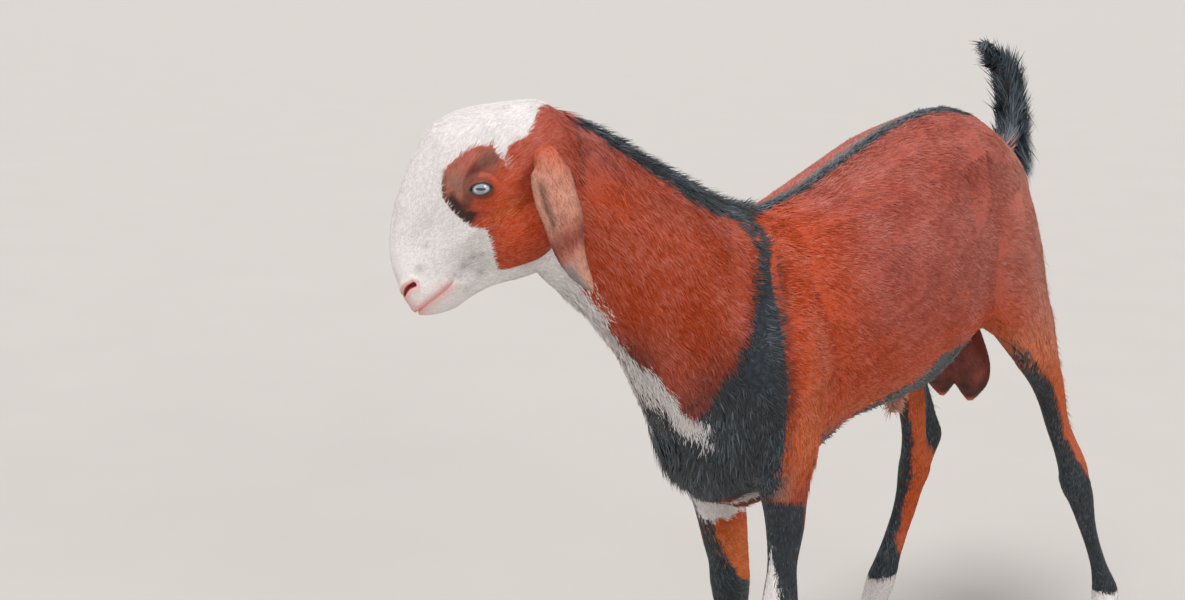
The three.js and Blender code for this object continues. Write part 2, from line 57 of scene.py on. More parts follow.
head = {
    "middle": np.array([-60.0, -539.0, 761.0]),  # between the two eyes
    "yaw": 53.0,                                 # turned to the goat's right
    "pitch": 49.0,                               # the face points below level
    "eyeAside": 44.0,                            # eyeball centre from the middle plane
    "eyeRadius": 12.6,
    "cut": (-22, -493, 760),                     # where the head parts from the neck
    "cutWay": (-0.58, -0.81, -0.05),             # forward, square to that cut
    "eyeLine": (0.656, 0.755),                   # forward and up shares of the eye's level line
}
eyesMiddle = (boxMiddle("eye_left") + boxMiddle("eye_right")) / 2
origin = eyesMiddle - head["middle"] * mm


def sideOf(name):
    # 1 for the left side, -1 for the right
    return 1 if name.endswith("left") else -1


def sectionAxes(yaw, lean):
    # heading = (-sin yaw, -cos yaw, 0); left is square to it; up leans back by lean
    turn, tip = np.radians(yaw), np.radians(lean)
    flat = np.zeros_like(turn)
    heading = np.stack([-np.sin(turn), -np.cos(turn), flat], -1)
    left = np.stack([np.cos(turn), -np.sin(turn), flat], -1)
    up = -np.sin(tip)[..., None] * heading
    up[..., 2] = np.cos(tip)
    return heading, left, up


_, faceLeft, faceUp = sectionAxes(np.array(head["yaw"]), np.array(-head["pitch"]))
faceAlong = -np.cross(faceUp, faceLeft)


def headPoint(forward, high, aside):
    # the head's middle + forward, high and aside times the head's own axes
    return head["middle"] + np.multiply.outer(forward, faceAlong) \
        + np.multiply.outer(high, faceUp) + np.multiply.outer(aside, faceLeft)


def headMeasure(points):
    # the same backward: (point - middle) . each axis
    away = points - head["middle"]
    return away @ faceAlong, away @ faceUp, away @ faceLeft


# small tools on whole arrays

def ease(low, high, value):
    # 0 below low, 1 above high, 3t^2 - 2t^3 between
    t = np.clip((value - low) / (high - low), 0, 1)
    return t * t * (3 - 2 * t)


def hump(value, middle, spread):
    # bell: e to the minus (distance over spread) squared
    return np.exp(-((value - middle) / spread) ** 2)


def fullTurn(count):
    # count even angles from 0 up to a whole turn
    return np.linspace(0, 2 * np.pi, count, endpoint=False)


def signedPower(value, power):
    # the value's size to the power, with the value's sign
    return np.sign(value) * np.abs(value) ** power


def unit(vectors):
    # each vector over its own length
    return vectors / np.maximum(np.linalg.norm(vectors, axis=-1, keepdims=True), 1e-9)


def smoothRows(rows, steps):
    # Catmull-Rom curve through the rows, steps points to each gap
    rows = np.asarray(rows, float)
    last = len(rows) - 1
    t = np.linspace(0, last, last * steps + 1)
    i = np.minimum(t.astype(int), last - 1)
    f = (t - i)[:, None]
    before, here = rows[np.maximum(i - 1, 0)], rows[i]
    after, later = rows[i + 1], rows[np.minimum(i + 2, last)]
    slope0, slope1, rise = (after - before) / 2, (later - here) / 2, after - here
    return here + slope0 * f + (3 * rise - 2 * slope0 - slope1) * f ** 2 \
        + (slope0 + slope1 - 2 * rise) * f ** 3


def ringGrid(rows, around):
    # each row: x y z yaw lean half-width rise fall squareness taper; a ring is the closed curve
    # left * wide * cos^(2/s) * (1 - taper * low^1.5) + up * (rise or fall) * sin^(2/s)
    x, y, z, yaw, lean, wide, rise, fall, square, taper = np.asarray(rows, float).T
    _, left, up = sectionAxes(yaw, lean)
    angle = fullTurn(around)[None]
    power = 2 / square[:, None]
    level = signedPower(np.sin(angle), power)
    reach = signedPower(np.cos(angle), power)
    across = wide[:, None] * reach * (1 - taper[:, None] * np.clip(-level, 0, None) ** 1.5)
    high = level * np.where(level > 0, rise[:, None], fall[:, None])
    middle = np.stack([x, y, z], -1)[:, None]
    return middle + left[:, None] * across[..., None] + up[:, None] * high[..., None]


def gridFaces(count, around):
    # quads between neighbouring rings, and a fan to a middle point at both ends
    ring = np.arange(count - 1)[:, None] * around
    k = np.arange(around)[None]
    step = (k + 1) % around
    quads = np.stack([ring + k, ring + step, ring + around + step, ring + around + k], -1)
    k, step = k[0], step[0]
    start, end = count * around, count * around + 1
    lastRing = (count - 1) * around
    low = np.stack([np.full(around, start), step, k], -1)
    high = np.stack([np.full(around, end), lastRing + k, lastRing + step], -1)
    return quads.reshape(-1, 4), np.concatenate([low, high])


def closedShell(grid):
    # points and faces of a grid of rings, closed at both ends
    count, around, _ = grid.shape
    points = np.concatenate([grid.reshape(-1, 3), grid[:1].mean(1), grid[-1:].mean(1)])
    quads, fans = gridFaces(count, around)
    return points, quads.tolist() + fans.tolist()


def meshFrom(name, points, faces, place=True):
    # millimetres in the goat's frame to metres: point * mm + origin
    mesh = bpy.data.meshes.new(name)
    where = points * mm + origin if place else points
    mesh.from_pydata(where.tolist(), [], faces)
    mesh.update()
    return mesh


def outward(mesh):
    # faces turned to point out of each closed shell
    work = bmesh.new()
    work.from_mesh(mesh)
    bmesh.ops.recalc_face_normals(work, faces=work.faces)
    work.to_mesh(mesh)
    work.free()


def addObject(name, mesh, smooth=True):
    piece = bpy.data.objects.new(name, mesh)
    bpy.context.scene.collection.objects.link(piece)
    if smooth:
        mesh.polygons.foreach_set("use_smooth", np.ones(len(mesh.polygons), bool))
    return piece


def joinShells(shells):
    # all points in one list, each shell's faces counted on from the last
    points, faces, start = [], [], 0
    for shellPoints, shellFaces in shells:
        points.append(shellPoints)
        faces += [[start + i for i in face] for face in shellFaces]
        start += len(shellPoints)
    return np.concatenate(points), faces


def readMesh(items, name, width, kind=float):
    # one value of every item as rows of an array
    values = np.empty(len(items) * width, kind)
    items.foreach_get(name, values)
    return values.reshape(-1, width)


def meshPoints(mesh):
    # the mesh's points in millimetres in the goat's frame
    return (readMesh(mesh.vertices, "co", 3) - origin) / mm


def meshNormals(mesh):
    return readMesh(mesh.vertices, "normal", 3)


def setPoints(mesh, points):
    mesh.vertices.foreach_set("co", (points * mm + origin).ravel())
    mesh.update()


def meshEdges(mesh):
    return readMesh(mesh.edges, "vertices", 2, np.int64)


def relax(points, edges, weight, rounds):
    # each point moves by weight towards the mean of its neighbours
    a, b = edges.T
    count = len(points)
    ties = np.maximum(np.bincount(a, minlength=count) + np.bincount(b, minlength=count), 1)
    for _ in range(rounds):
        mean = np.stack([np.bincount(a, points[b, k], count) + np.bincount(b, points[a, k], count)
                         for k in range(3)], -1) / ties[:, None]
        points = points + weight[:, None] * (mean - points)
    return points


# body forms

coat = {
    "bodyDepth": 3.5,      # hair over the trunk and neck
    "limbDepth": 1.8,
    "faceDepth": 1.2,
}

# y, middle height, half-width, top, bottom, squareness, taper of the underside
trunkRows = [
    [-338, 492, 18, 516, 468, 2, 0], [-318, 500, 50, 590, 428, 2, 0.1],
    [-278, 520, 76, 662, 388, 2, 0.25], [-232, 545, 90, 706, 367, 2, 0.4],
    [-180, 552, 96, 702, 358, 2, 0.45], [-125, 556, 105, 708, 388, 2.1, 0.3],
    [-65, 560, 115, 723, 426, 2.1, 0.15], [10, 566, 122, 745, 430, 2.1, 0.05],
    [85, 575, 121, 767, 432, 2.1, 0.05], [150, 590, 112, 778, 446, 2.1, 0.05],
    [210, 608, 101, 780, 470, 2.1, 0], [265, 625, 94, 771, 500, 2.1, 0],
    [315, 640, 80, 746, 540, 2.1, 0], [355, 648, 58, 716, 578, 2, 0],
    [385, 652, 28, 684, 612, 2, 0]]

# x, y, z, yaw, lean, half-width, rise, fall
neckRows = [
    [0, -235, 545, 0, 24, 76, 148, 132], [0, -278, 580, 0, 25, 74, 143, 130],
    [0, -325, 620, 0, 27, 65, 119, 111], [0, -368, 659, 2, 25, 57, 102, 98],
    [-6, -412, 692, 8, 19, 51, 93, 92], [-16, -453, 722, 18, 14, 47, 88, 87],
    [-30, -492, 748, 30, 6, 44, 83, 83], [-46, -520, 762, 40, -8, 40, 66, 70]]

# along the face, middle, top, bottom, half-width, taper
headRows = [
    [-92, -8, 8, -24, 18, 0], [-84, -8, 22, -42, 34, 0], [-64, -4, 40, -62, 46, 0.1],
    [-38, 4, 62, -74, 51, 0.25], [-6, 6, 76, -84, 52, 0.38], [26, 2, 71, -96, 46, 0.45],
    [48, -4, 65, -88, 41, 0.42], [70, -10, 57, -73, 37, 0.35], [90, -14, 47, -64, 34, 0.25],
    [108, -18, 35, -58, 32, 0.15], [123, -22, 19, -52, 30, 0.1], [134, -26, -2, -46, 26, 0.05],
    [142, -28, -17, -38, 16, 0]]

# z, x, y, half-depth, half-width, toe turned out
limbRows = {
    "fore_left": [
        [655, 44, -214, 40, 20, 0], [610, 60, -224, 60, 32, 0], [565, 68, -232, 66, 37, 0],
        [510, 70, -230, 66, 38, 0], [460, 70, -222, 54, 35, 0], [420, 68, -220, 41, 29, 0],
        [388, 66, -213, 32, 23, 0], [352, 65, -209, 26, 20, 0], [312, 65, -213, 20, 17, 4],
        [280, 65, -215, 22, 20, 6], [248, 65, -216, 24, 23, 8], [218, 66, -212, 20, 19, 8],
        [190, 66, -209, 16, 14, 8], [150, 66, -208, 15, 13, 8], [112, 66, -208, 17, 15, 8],
        [86, 67, -208, 20, 19, 8], [62, 67, -215, 18, 18, 8], [44, 68, -224, 20, 19, 8],
        [34.3, 68, -228, 23, 21, 8], [27, 68, -229, 20, 18, 8]],
    "fore_right": [
        [655, -44, -204, 40, 20, 0], [610, -60, -208, 60, 32, 0], [565, -68, -210, 66, 37, 0],
        [510, -68, -200, 66, 38, 0], [460, -65, -190, 56, 35, 0], [420, -60, -186, 44, 30, 6],
        [380, -56, -178, 38, 26, 10], [340, -52, -168, 35, 24, 12], [300, -51, -159, 31, 22, 12],
        [272, -50, -153, 27, 22, 12], [248, -50, -150, 26, 23, 12], [218, -50, -147, 22, 20, 12],
        [190, -50, -144, 16, 14, 12], [150, -50, -141, 15, 13, 12], [112, -51, -138, 17, 15, 12],
        [86, -51, -137, 20, 19, 12], [62, -52, -144, 18, 18, 12], [44, -53, -153, 20, 19, 12],
        [34.3, -53, -157, 23, 21, 12], [27, -53, -158, 20, 18, 12]],
    "hind_left": [
        [715, 38, 256, 48, 22, 0], [670, 58, 248, 76, 37, 0], [618, 70, 238, 91, 45, 0],
        [560, 76, 252, 88, 46, 0], [505, 84, 288, 72, 40, 4], [474, 92, 306, 57, 33, 8],
        [446, 99, 318, 46, 28, 10], [418, 102, 339, 36, 23, 12], [388, 105, 354, 28, 19, 14],
        [350, 108, 368, 22, 16, 16], [315, 111, 388, 20, 16, 18], [285, 113, 408, 23, 19, 20],
        [252, 115, 425, 27, 22, 20], [226, 117, 440, 23, 18, 20], [195, 120, 453, 20, 14, 22],
        [160, 123, 471, 19, 12, 22], [125, 127, 488, 20, 13, 22], [96, 131, 500, 22, 18, 22],
        [80, 133, 501, 22, 20, 22], [60, 137, 491, 19, 19, 22], [44, 141, 480, 20, 20, 22],
        [34.3, 143, 475, 24, 21, 22], [27, 143, 474, 20, 18, 22]],
    "hind_right": [
        [715, -38, 250, 48, 22, 0], [670, -58, 240, 76, 37, 0], [618, -70, 227, 91, 45, 0],
        [560, -78, 220, 90, 46, 0], [505, -84, 224, 77, 41, 4], [474, -86, 236, 62, 35, 8],
        [446, -86, 254, 49, 29, 10], [410, -84, 284, 36, 23, 12], [375, -82, 309, 28, 18, 14],
        [340, -83, 322, 23, 15, 16], [310, -85, 331, 21, 15, 18], [282, -88, 342, 24, 18, 20],
        [252, -92, 347, 26, 20, 20], [226, -96, 344, 22, 16, 20], [195, -100, 338, 21, 13, 20],
        [160, -105, 326, 21, 12, 20], [130, -109, 314, 22, 14, 20], [106, -113, 307, 24, 18, 20],
        [86, -116, 303, 23, 20, 20], [64, -119, 293, 19, 19, 20], [46, -122, 283, 20, 20, 20],
        [34.3, -124, 278, 24, 21, 20], [27, -124, 277, 20, 18, 20]],
}

# tendon and web behind the hock, same columns
heelRows = {
    "hind_left": [
        [440, 102, 335, 36, 17, 12], [395, 105, 364, 29, 12, 16], [355, 108, 384, 27, 8, 18],
        [325, 111, 403, 26, 8, 20], [300, 113, 420, 25, 10.5, 20], [276, 115, 430, 22, 13, 20],
        [240, 117, 441, 18, 13, 20], [205, 119, 455, 13, 11, 20]],
    "hind_right": [
        [440, -84, 270, 38, 18, 12], [395, -83, 306, 33, 12, 16], [355, -84, 335, 30, 8, 18],
        [325, -86, 356, 29, 8, 20], [300, -88, 370, 30, 10.5, 20], [276, -90, 366, 24, 12.5, 20],
        [240, -94, 360, 17, 12, 20], [205, -99, 350, 13, 10, 20]],
}

# y, z, lean, half-width, half-depth
tailRows = [
    [352, 686, 50, 16, 20], [384, 694, 40, 20, 27], [404, 716, 70, 21, 30],
    [404, 748, 92, 20, 26], [393, 785, 105, 18, 24], [373, 820, 118, 15, 20],
    [344, 846, 140, 11, 15], [312, 860, 165, 6, 8], [288, 862, 178, 2.5, 3]]

# z, x, y, half-depth, half-width
scrotumRows = [
    [545, 10, 266, 20, 14], [505, 13, 270, 23, 17], [470, 19, 277, 27, 22],
    [436, 23, 283, 29, 26], [410, 23, 286, 25, 22], [394, 21, 287, 14, 12],
    [383, 20, 287, 8, 7]]

# z, y, half-depth, half-width
sheathRows = [[470, 140, 16, 13], [436, 132, 17, 13], [412, 124, 14, 12], [398, 119, 8, 8]]


def ringShell(x, y, z, yaw, lean, wide, rise, fall, square, taper, around):
    # closed shell of ringGrid's rings; a single value stands for every ring
    columns = np.broadcast_arrays(x, y, z, yaw, lean, wide, rise, fall, square, taper)
    return closedShell(ringGrid(np.stack(columns, -1), around))


def trunkShell():
    # upright rings along y, each smaller by the depth of the hair
    y, middle, wide, top, bottom, square, taper = smoothRows(trunkRows, 6).T
    deep = coat["bodyDepth"]
    return ringShell(0, y, middle, 0, 0, wide - deep, top - middle - deep, middle - bottom - deep,
                     square, taper, 72)


def neckShell():
    # the same, carried along the neck and turning with it
    x, y, z, yaw, lean, wide, rise, fall = smoothRows(neckRows, 6).T
    deep = coat["bodyDepth"]
    return ringShell(x, y, z, yaw, lean, wide - deep, rise - deep, fall - deep, 2.1, 0.15, 64)


def headShell():
    # the same, carried forward along the face in the head's own axes
    forward, middle, top, bottom, wide, taper = smoothRows(headRows, 8).T
    deep = coat["faceDepth"]
    x, y, z = headPoint(forward, middle, 0 * forward).T
    return ringShell(x, y, z, head["yaw"], -head["pitch"], wide - deep, top - middle - deep,
                     middle - bottom - deep, 2.2, taper, 72)


def ball(middle, wide, high, long):
    # ellipsoid in the head's own axes
    turn = fullTurn(32)[None, :, None]
    dip = np.linspace(0.04, np.pi - 0.04, 18)[:, None, None]
    grid = middle + long * np.cos(dip) * faceAlong + wide * np.sin(dip) * np.cos(turn) * faceLeft \
        + high * np.sin(dip) * np.sin(turn) * faceUp
    return closedShell(grid)


def limbShell(rows, side, around=40):
    # level rings down a leg, each turned out by its own angle and smaller by the depth of the hair
    z, x, y, deep, wide, turn = smoothRows(rows, 6).T
    thin = coat["limbDepth"] + (coat["bodyDepth"] - coat["limbDepth"]) * ease(380, 500, z)
    return ringShell(x, y, z, -turn * side, -90, wide - thin, deep - thin, deep - thin, 2.1, 0, around)


def tailShell():
    # rings square to the tail's curve; the hair makes up much of the tail's breadth
    y, z, lean, wide, deep = smoothRows(tailRows[:8], 6).T
    flesh = 1 - (0.5 + 0.25 * ease(700, 760, z)) * 0.6
    return ringShell(0, y, z, 180, lean, wide * flesh, deep * flesh, deep * flesh, 2, 0, 32)


def scrotumShell(side):
    # level rings, one shell for each half
    z, x, y, deep, wide = smoothRows(scrotumRows, 6).T
    return ringShell(x * side, y, z, 0, -90, wide - 1, deep - 1, deep - 1, 2, 0, 36)


def sheathShell():
    # level rings under the belly
    z, y, deep, wide = smoothRows(sheathRows, 5).T
    return ringShell(0, y, z, 0, -90, wide - 3, deep - 3, deep - 3, 2, 0, 28)


# one skin

skinSizes = {
    "voxel": 3.0,     # mm, first even mesh over all the forms
    "triangles": 88000,                 # after thinning the plain areas
    # balls for the brows, cheeks and nostrils: forward, up, aside, half-width, half-height, half-length
    "balls": [(-2, 4, 36, 19.5, 25, 31), (8, -48, 22, 20.8, 38.8, 37), (112, -14, 20, 12.8, 15.8, 18.8)],
}


def modified(piece):
    # the piece's mesh with its modifiers worked out
    deps = bpy.context.evaluated_depsgraph_get()
    return bpy.data.meshes.new_from_object(piece.evaluated_get(deps))


def earlySkin():
    # every form as a closed shell, welded into one even mesh
    shells = [trunkShell(), neckShell(), headShell(), tailShell(), sheathShell()]
    for side in (-1, 1):
        shells.append(scrotumShell(side))
        for forward, high, aside, *halves in skinSizes["balls"]:
            shells.append(ball(headPoint(forward, high, aside * side), *halves))
    for name, rows in limbRows.items():
        shells.append(limbShell(rows, sideOf(name)))
        if name in heelRows:
            shells.append(limbShell(heelRows[name], sideOf(name), 32))
    points, faces = joinShells(shells)
    mesh = meshFrom("forms", points, faces)
    outward(mesh)
    forms = addObject("forms", mesh)
    weld = forms.modifiers.new("weld", "REMESH")
    weld.mode = "VOXEL"
    weld.voxel_size = skinSizes["voxel"] * mm
    whole = modified(forms)
    bpy.data.objects.remove(forms)
    return whole


def lowerLimb(points):
    # 1 on the legs below the body, 0 on the trunk
    x, y, z = points.T
    fore = ease(430, 380, z) * ease(-60, -90, y) * ease(20, 34, np.abs(x))
    hind = ease(470, 420, z) * ease(185, 205, y) * ease(48, 60, np.abs(x))
    return np.maximum(fore, hind)


def headPart(points, low=-12, high=8):
    # 1 on the head, 0 on the neck, eased by the distance before the cut behind the jaw
    return ease(low, high, (points - np.array(head["cut"])) @ np.array(head["cutWay"]))


startMesh = earlySkin()
print("even skin:", len(startMesh.vertices), "points")
points = meshPoints(startMesh)
edges = meshEdges(startMesh)
keep = np.maximum(lowerLimb(points), headPart(points))
keep = np.maximum(keep, ease(690, 720, points[:, 2]) * ease(370, 385, points[:, 1]))
points = relax(points, edges, np.full(len(points), 0.5), 4)
points = relax(points, edges, 0.5 * headPart(points), 12)
points = relax(points, edges, 0.5 * (1 - keep), 44)
setPoints(startMesh, points)


# muscle, bone and hollow

# x y z, spread x y z, height (below 0 a hollow); each is made on both sides of the body
bodyForms = [
    (80, 186, 730, 26, 24, 22, 7), (103, 138, 688, 40, 34, 38, -9), (48, 372, 668, 18, 18, 24, 6),
    (88, -294, 535, 26, 22, 30, 5), (103, -212, 545, 34, 34, 52, 4), (100, -150, 510, 34, 18, 60, -3.5),
    (58, -306, 640, 22, 16, 34, -3), (90, 222, 494, 20, 16, 24, 4), (112, 318, 566, 24, 9, 70, -3),
    (92, 150, 462, 20, 36, 12, 3), (70, 300, 742, 20, 34, 16, -3), (84, -178, 436, 14, 13, 14, 4)]
# the same on one leg each
legForms = [
    (-66, -138, 440, 14, 13, 14, 4), (-92, 160, 494, 20, 16, 24, 4), (-112, 262, 566, 24, 9, 70, -3),
    (115, 452, 284, 11, 9, 10, 2.5), (-90, 394, 284, 11, 9, 10, 2.5),
    (138, 420, 266, 9, 10, 10, 2.5), (-113, 345, 266, 9, 10, 10, 2.5),
    (92, 418, 266, 9, 10, 10, 2), (-71, 345, 266, 9, 10, 10, 2),
    (65, -190, 262, 9, 8, 9, 3), (-50, -124, 262, 9, 8, 9, 3),
    (65, -242, 252, 14, 8, 16, 2), (-50, -177, 252, 14, 8, 16, 2)]
# forward, up, aside of the head, spreads, height; both sides
headForms = [
    (-8, 21, 52, 24, 9, 16, 3.5), (-24, -2, 54, 8, 14, 12, 1.5), (22, -19, 46, 14, 10, 14, -2),
    (6, -24, 44, 32, 12, 16, 3), (-56, -20, 50, 18, 18, 14, 4),
    (42, -20, 42, 28, 8, 14, 2.5), (44, -60, 30, 9, 22, 20, 2), (68, -46, 28, 14, 16, 18, -4),
    (-36, 26, 44, 14, 14, 16, -3.5), (-14, -80, 28, 18, 14, 16, 3), (-30, -18, 54, 22, 7, 12, 3),
    (80, 14, 32, 30, 12, 14, -3), (58, 44, 20, 50, 9, 9, 2), (113, -26, 28, 18, 5, 16, 1.6),
    (104, -47, 24, 20, 6, 14, 1.5), (114, -54, 6, 14, 8, 14, 2), (-60, 34, 24, 12, 12, 12, 1.5),
    (-2, 36, 40, 16, 8, 14, 2)]


def bell(points, middle, spread):
    # height 1 at the middle, falling as e to the minus squared distance
    return np.exp(-(((points - middle) / spread) ** 2).sum(-1))


def riseOf(points, forms):
    # the sum of height times bell over the forms
    return sum(form[6] * bell(points, form[:3], form[3:6]) for form in forms)


def bothSides(points):
    # the right side folded on the left
    return np.stack([np.abs(points[:, 0]), points[:, 1], points[:, 2]], -1)


def bodyRise(points):
    # the forms on the body, a ridge and two furrows along the spine, and waves for the ribs
    x, y, z = points.T
    rise = riseOf(bothSides(points), bodyForms) + riseOf(points, legForms)
    spine = ease(-200, -150, y) * ease(330, 250, y) * ease(640, 690, z)
    rise += spine * (3.2 * hump(x, 0, 10) - 1.6 * hump(np.abs(x), 34, 18))
    ribs = ease(-150, -100, y) * ease(120, 60, y) * ease(450, 500, z) * ease(700, 640, z)
    rise += 0.2 * ribs * np.cos(2 * np.pi * (y + 0.35 * z) / 27)
    return rise


def headRise(points):
    # the forms on both sides of the head, nothing on the neck
    forward, high, aside = headMeasure(points)
    return riseOf(np.stack([forward, high, np.abs(aside)], -1), headForms) * headPart(points)


normals = meshNormals(startMesh)
points = points + normals * (bodyRise(points) + headRise(points))[:, None]
setPoints(startMesh, points)
skin = addObject("skin", startMesh)


def thinOut(piece, weight, triangles):
    # fewer faces where weight is 1
    group = piece.vertex_groups.new(name="thin")
    levels = np.round(weight, 1)
    for level in np.unique(levels):
        group.add(np.where(levels == level)[0].tolist(), float(level), "REPLACE")
    faces = len(piece.data.polygons) * 2
    fewer = piece.modifiers.new("fewer", "DECIMATE")
    fewer.ratio = min(1.0, triangles / faces)
    fewer.vertex_group = "thin"
    fewer.vertex_group_factor = 1.0
    fewer.use_collapse_triangulate = True
    mesh = modified(piece)
    piece.modifiers.clear()
    piece.vertex_groups.clear()
    piece.data = mesh
    return mesh


hangs = (np.abs(points[:, 0]) < 54) & (points[:, 2] < 505) & (points[:, 1] > 95) & (points[:, 1] < 325)
thinWeight = 1 - 0.9 * np.maximum(np.maximum(lowerLimb(points), headPart(points)), hangs)
skinMesh = thinOut(skin, thinWeight, skinSizes["triangles"])
print("thinned skin:", len(skinMesh.polygons), "triangles")


def splitNear(mesh, chosen):
    # halves every edge whose two ends are chosen
    work = bmesh.new()
    work.from_mesh(mesh)
    work.verts.ensure_lookup_table()
    picked = [edge for edge in work.edges if chosen[edge.verts[0].index] and chosen[edge.verts[1].index]]
    bmesh.ops.subdivide_edges(work, edges=picked, cuts=1, use_grid_fill=True)
    bmesh.ops.triangulate(work, faces=[face for face in work.faces if len(face.verts) > 3])
    work.to_mesh(mesh)
    work.free()


def eyeMeasure(points):
    # level distance backward and height above the eye, in the head's middle plane, and aside
    forward, high, aside = headMeasure(points)
    level, steep = head["eyeLine"]
    back = -(forward * level + high * steep)
    lift = -forward * steep + high * level
    return back, lift, aside


nostril = {
    "rear": (117, -11), "front": (134, -11),   # forward, up of the slit's two ends
    "depth": 7, "rearHalf": 2.9, "frontHalf": 1.6,
}
mouth = {"corner": 89, "depth": 2.3, "half": 1.1, "upperLip": 0.8, "lowerLip": 0.4}
eyeOpening = {"half": 10.6, "upper": 6.2, "lower": 5.5, "tilt": 0.1, "lid": 1.3, "stretch": 1.12}
# how near the eye, the nostril and the mouth's line the faces are halved, round by round
finerReach = [(26, 40, 34), (19, 9, 4.5), (12, 5, 1.8)]


def nostrilDistance(points):
    # distance from the slit, its place along it from rear to front, and its half-width there
    forward, high, aside = headMeasure(points)
    f0, h0 = nostril["rear"]
    f1, h1 = nostril["front"]
    length = np.hypot(f1 - f0, h1 - h0)
    t = ((forward - f0) * (f1 - f0) + (high - h0) * (h1 - h0)) / length ** 2
    t = np.clip(t, 0, 1)
    bow = 2.2 * np.sin(np.pi * t)
    away = np.hypot(forward - f0 - t * (f1 - f0), high - h0 - t * (h1 - h0) - bow)
    half = nostril["rearHalf"] + (nostril["frontHalf"] - nostril["rearHalf"]) * t
    return away + 40 * ease(13, 8, np.abs(aside)), t, half


def mouthLine(forward):
    # height of the slit between the lips, falling back to the corner
    return -31 - 6 * ease(138, 92, forward)


def openHalf(back):
    # half-height of the eye's opening above and below its middle line
    t = np.clip(1 - (back / eyeOpening["half"]) ** 2, 0, 1)
    return eyeOpening["upper"] * t ** 0.7, eyeOpening["lower"] * t ** 0.85


for eyeReach, nostrilReach, mouthReach in finerReach:
    points = meshPoints(skinMesh)
    forward, high, aside = headMeasure(points)
    back, lift, _ = eyeMeasure(points)
    nearEye = (np.hypot(back, lift) < eyeReach) & (np.abs(aside) > 34)
    away, _, _ = nostrilDistance(points)
    nearNostril = (away < nostrilReach) & (forward > 78) & (forward < 160)
    nearMouth = (np.abs(high - mouthLine(forward)) < mouthReach) & (forward > 76) & (forward < 160)
    chosen = (nearEye | nearNostril | nearMouth) & (headPart(points) > 0.5)
    splitNear(skinMesh, chosen)
    points = meshPoints(skinMesh)
    back, lift, aside = eyeMeasure(points)
    forward, high, _ = headMeasure(points)
    soft = headPart(points) * np.maximum(ease(36, 26, np.hypot(back, lift)), ease(70, 84, forward))
    points = relax(points, meshEdges(skinMesh), 0.5 * soft, 3)
    setPoints(skinMesh, points)
print("finer face:", len(skinMesh.polygons), "triangles")


def openFace(points, normals):
    # lids over the eyeballs, nostril slits and the line of the mouth
    back, lift, aside = eyeMeasure(points)
    side, out = np.sign(aside), np.abs(aside)
    onSide = out > 30
    apart = np.hypot(back / eyeOpening["stretch"], lift)
    ballRadius = head["eyeRadius"] + eyeOpening["lid"]
    lid = head["eyeAside"] + ballRadius * np.cos(np.clip(apart / ballRadius, 0, 1.1))
    middleLine = eyeOpening["tilt"] * back
    above, below = openHalf(back)
    height = lift - middleLine
    crease = 1.2 * hump(height, 9.8 - 0.035 * back ** 2, 1.2) * ease(15, 7, np.abs(back))
    crease += 0.5 * hump(height, -8.2 + 0.03 * back ** 2, 1.2) * ease(12, 5, np.abs(back + 2))
    swell = 0.6 * hump(height, 7.4 - 0.03 * back ** 2, 1.8) * ease(13, 6, np.abs(back))
    mixed = ease(25, 11, apart) * onSide
    wanted = out + (lid + swell - out) * mixed - crease * onSide
    inside = (height < above) & (height > -below) & (np.abs(back) < eyeOpening["half"]) & onSide
    wanted = np.where(inside, head["eyeAside"] + 1.5, wanted)
    points = points + (side * (wanted - out) * headPart(points))[:, None] * faceLeft
    forward, high, aside = headMeasure(points)
    away, along, half = nostrilDistance(points)
    pit = nostril["depth"] * ease(1.25, 0.55, away / half) * (0.7 + 0.3 * np.sin(np.pi * along))
    wing = 1.3 * hump(away, half + 3, 2.4) * (0.25 + 0.75 * ease(-13, -7, high))
    gap = high - mouthLine(forward)
    shut = ease(mouth["corner"] - 3, mouth["corner"] + 5, forward)
    groove = mouth["depth"] * hump(gap, 0, mouth["half"]) * shut
    lips = (mouth["upperLip"] * hump(gap, 4.2, 3.2) + mouth["lowerLip"] * hump(gap, -4.0, 2.6)) * shut
    corner = 1.2 * bell(np.stack([forward, high], -1), (86, -39), (3.5, 5))
    parting = 1.6 * hump(aside, 0, 1.3) * ease(118, 128, forward) * ease(-34, -30, high) * ease(0, -8, high)
    rise = (wing - pit + lips - groove - corner - parting) * headPart(points)
    return points + normals * rise[:, None]


points = openFace(meshPoints(skinMesh), meshNormals(skinMesh))
setPoints(skinMesh, points)

# ears

# forward, up, aside of the head, half-width
earRows = [
    [-58, -14, 34, 12], [-58, -27, 56, 15], [-52, -40, 62, 19], [-41, -56, 65, 20], [-30, -74, 66, 19],
    [-15, -93, 66, 15.5], [-5, -111, 64, 12], [0, -127, 61, 8], [2, -137, 59, 3]]
ear = {"halfThickness": 1.5, "curl": 0.35, "roll": 5.0, "around": 44, "steps": 9}


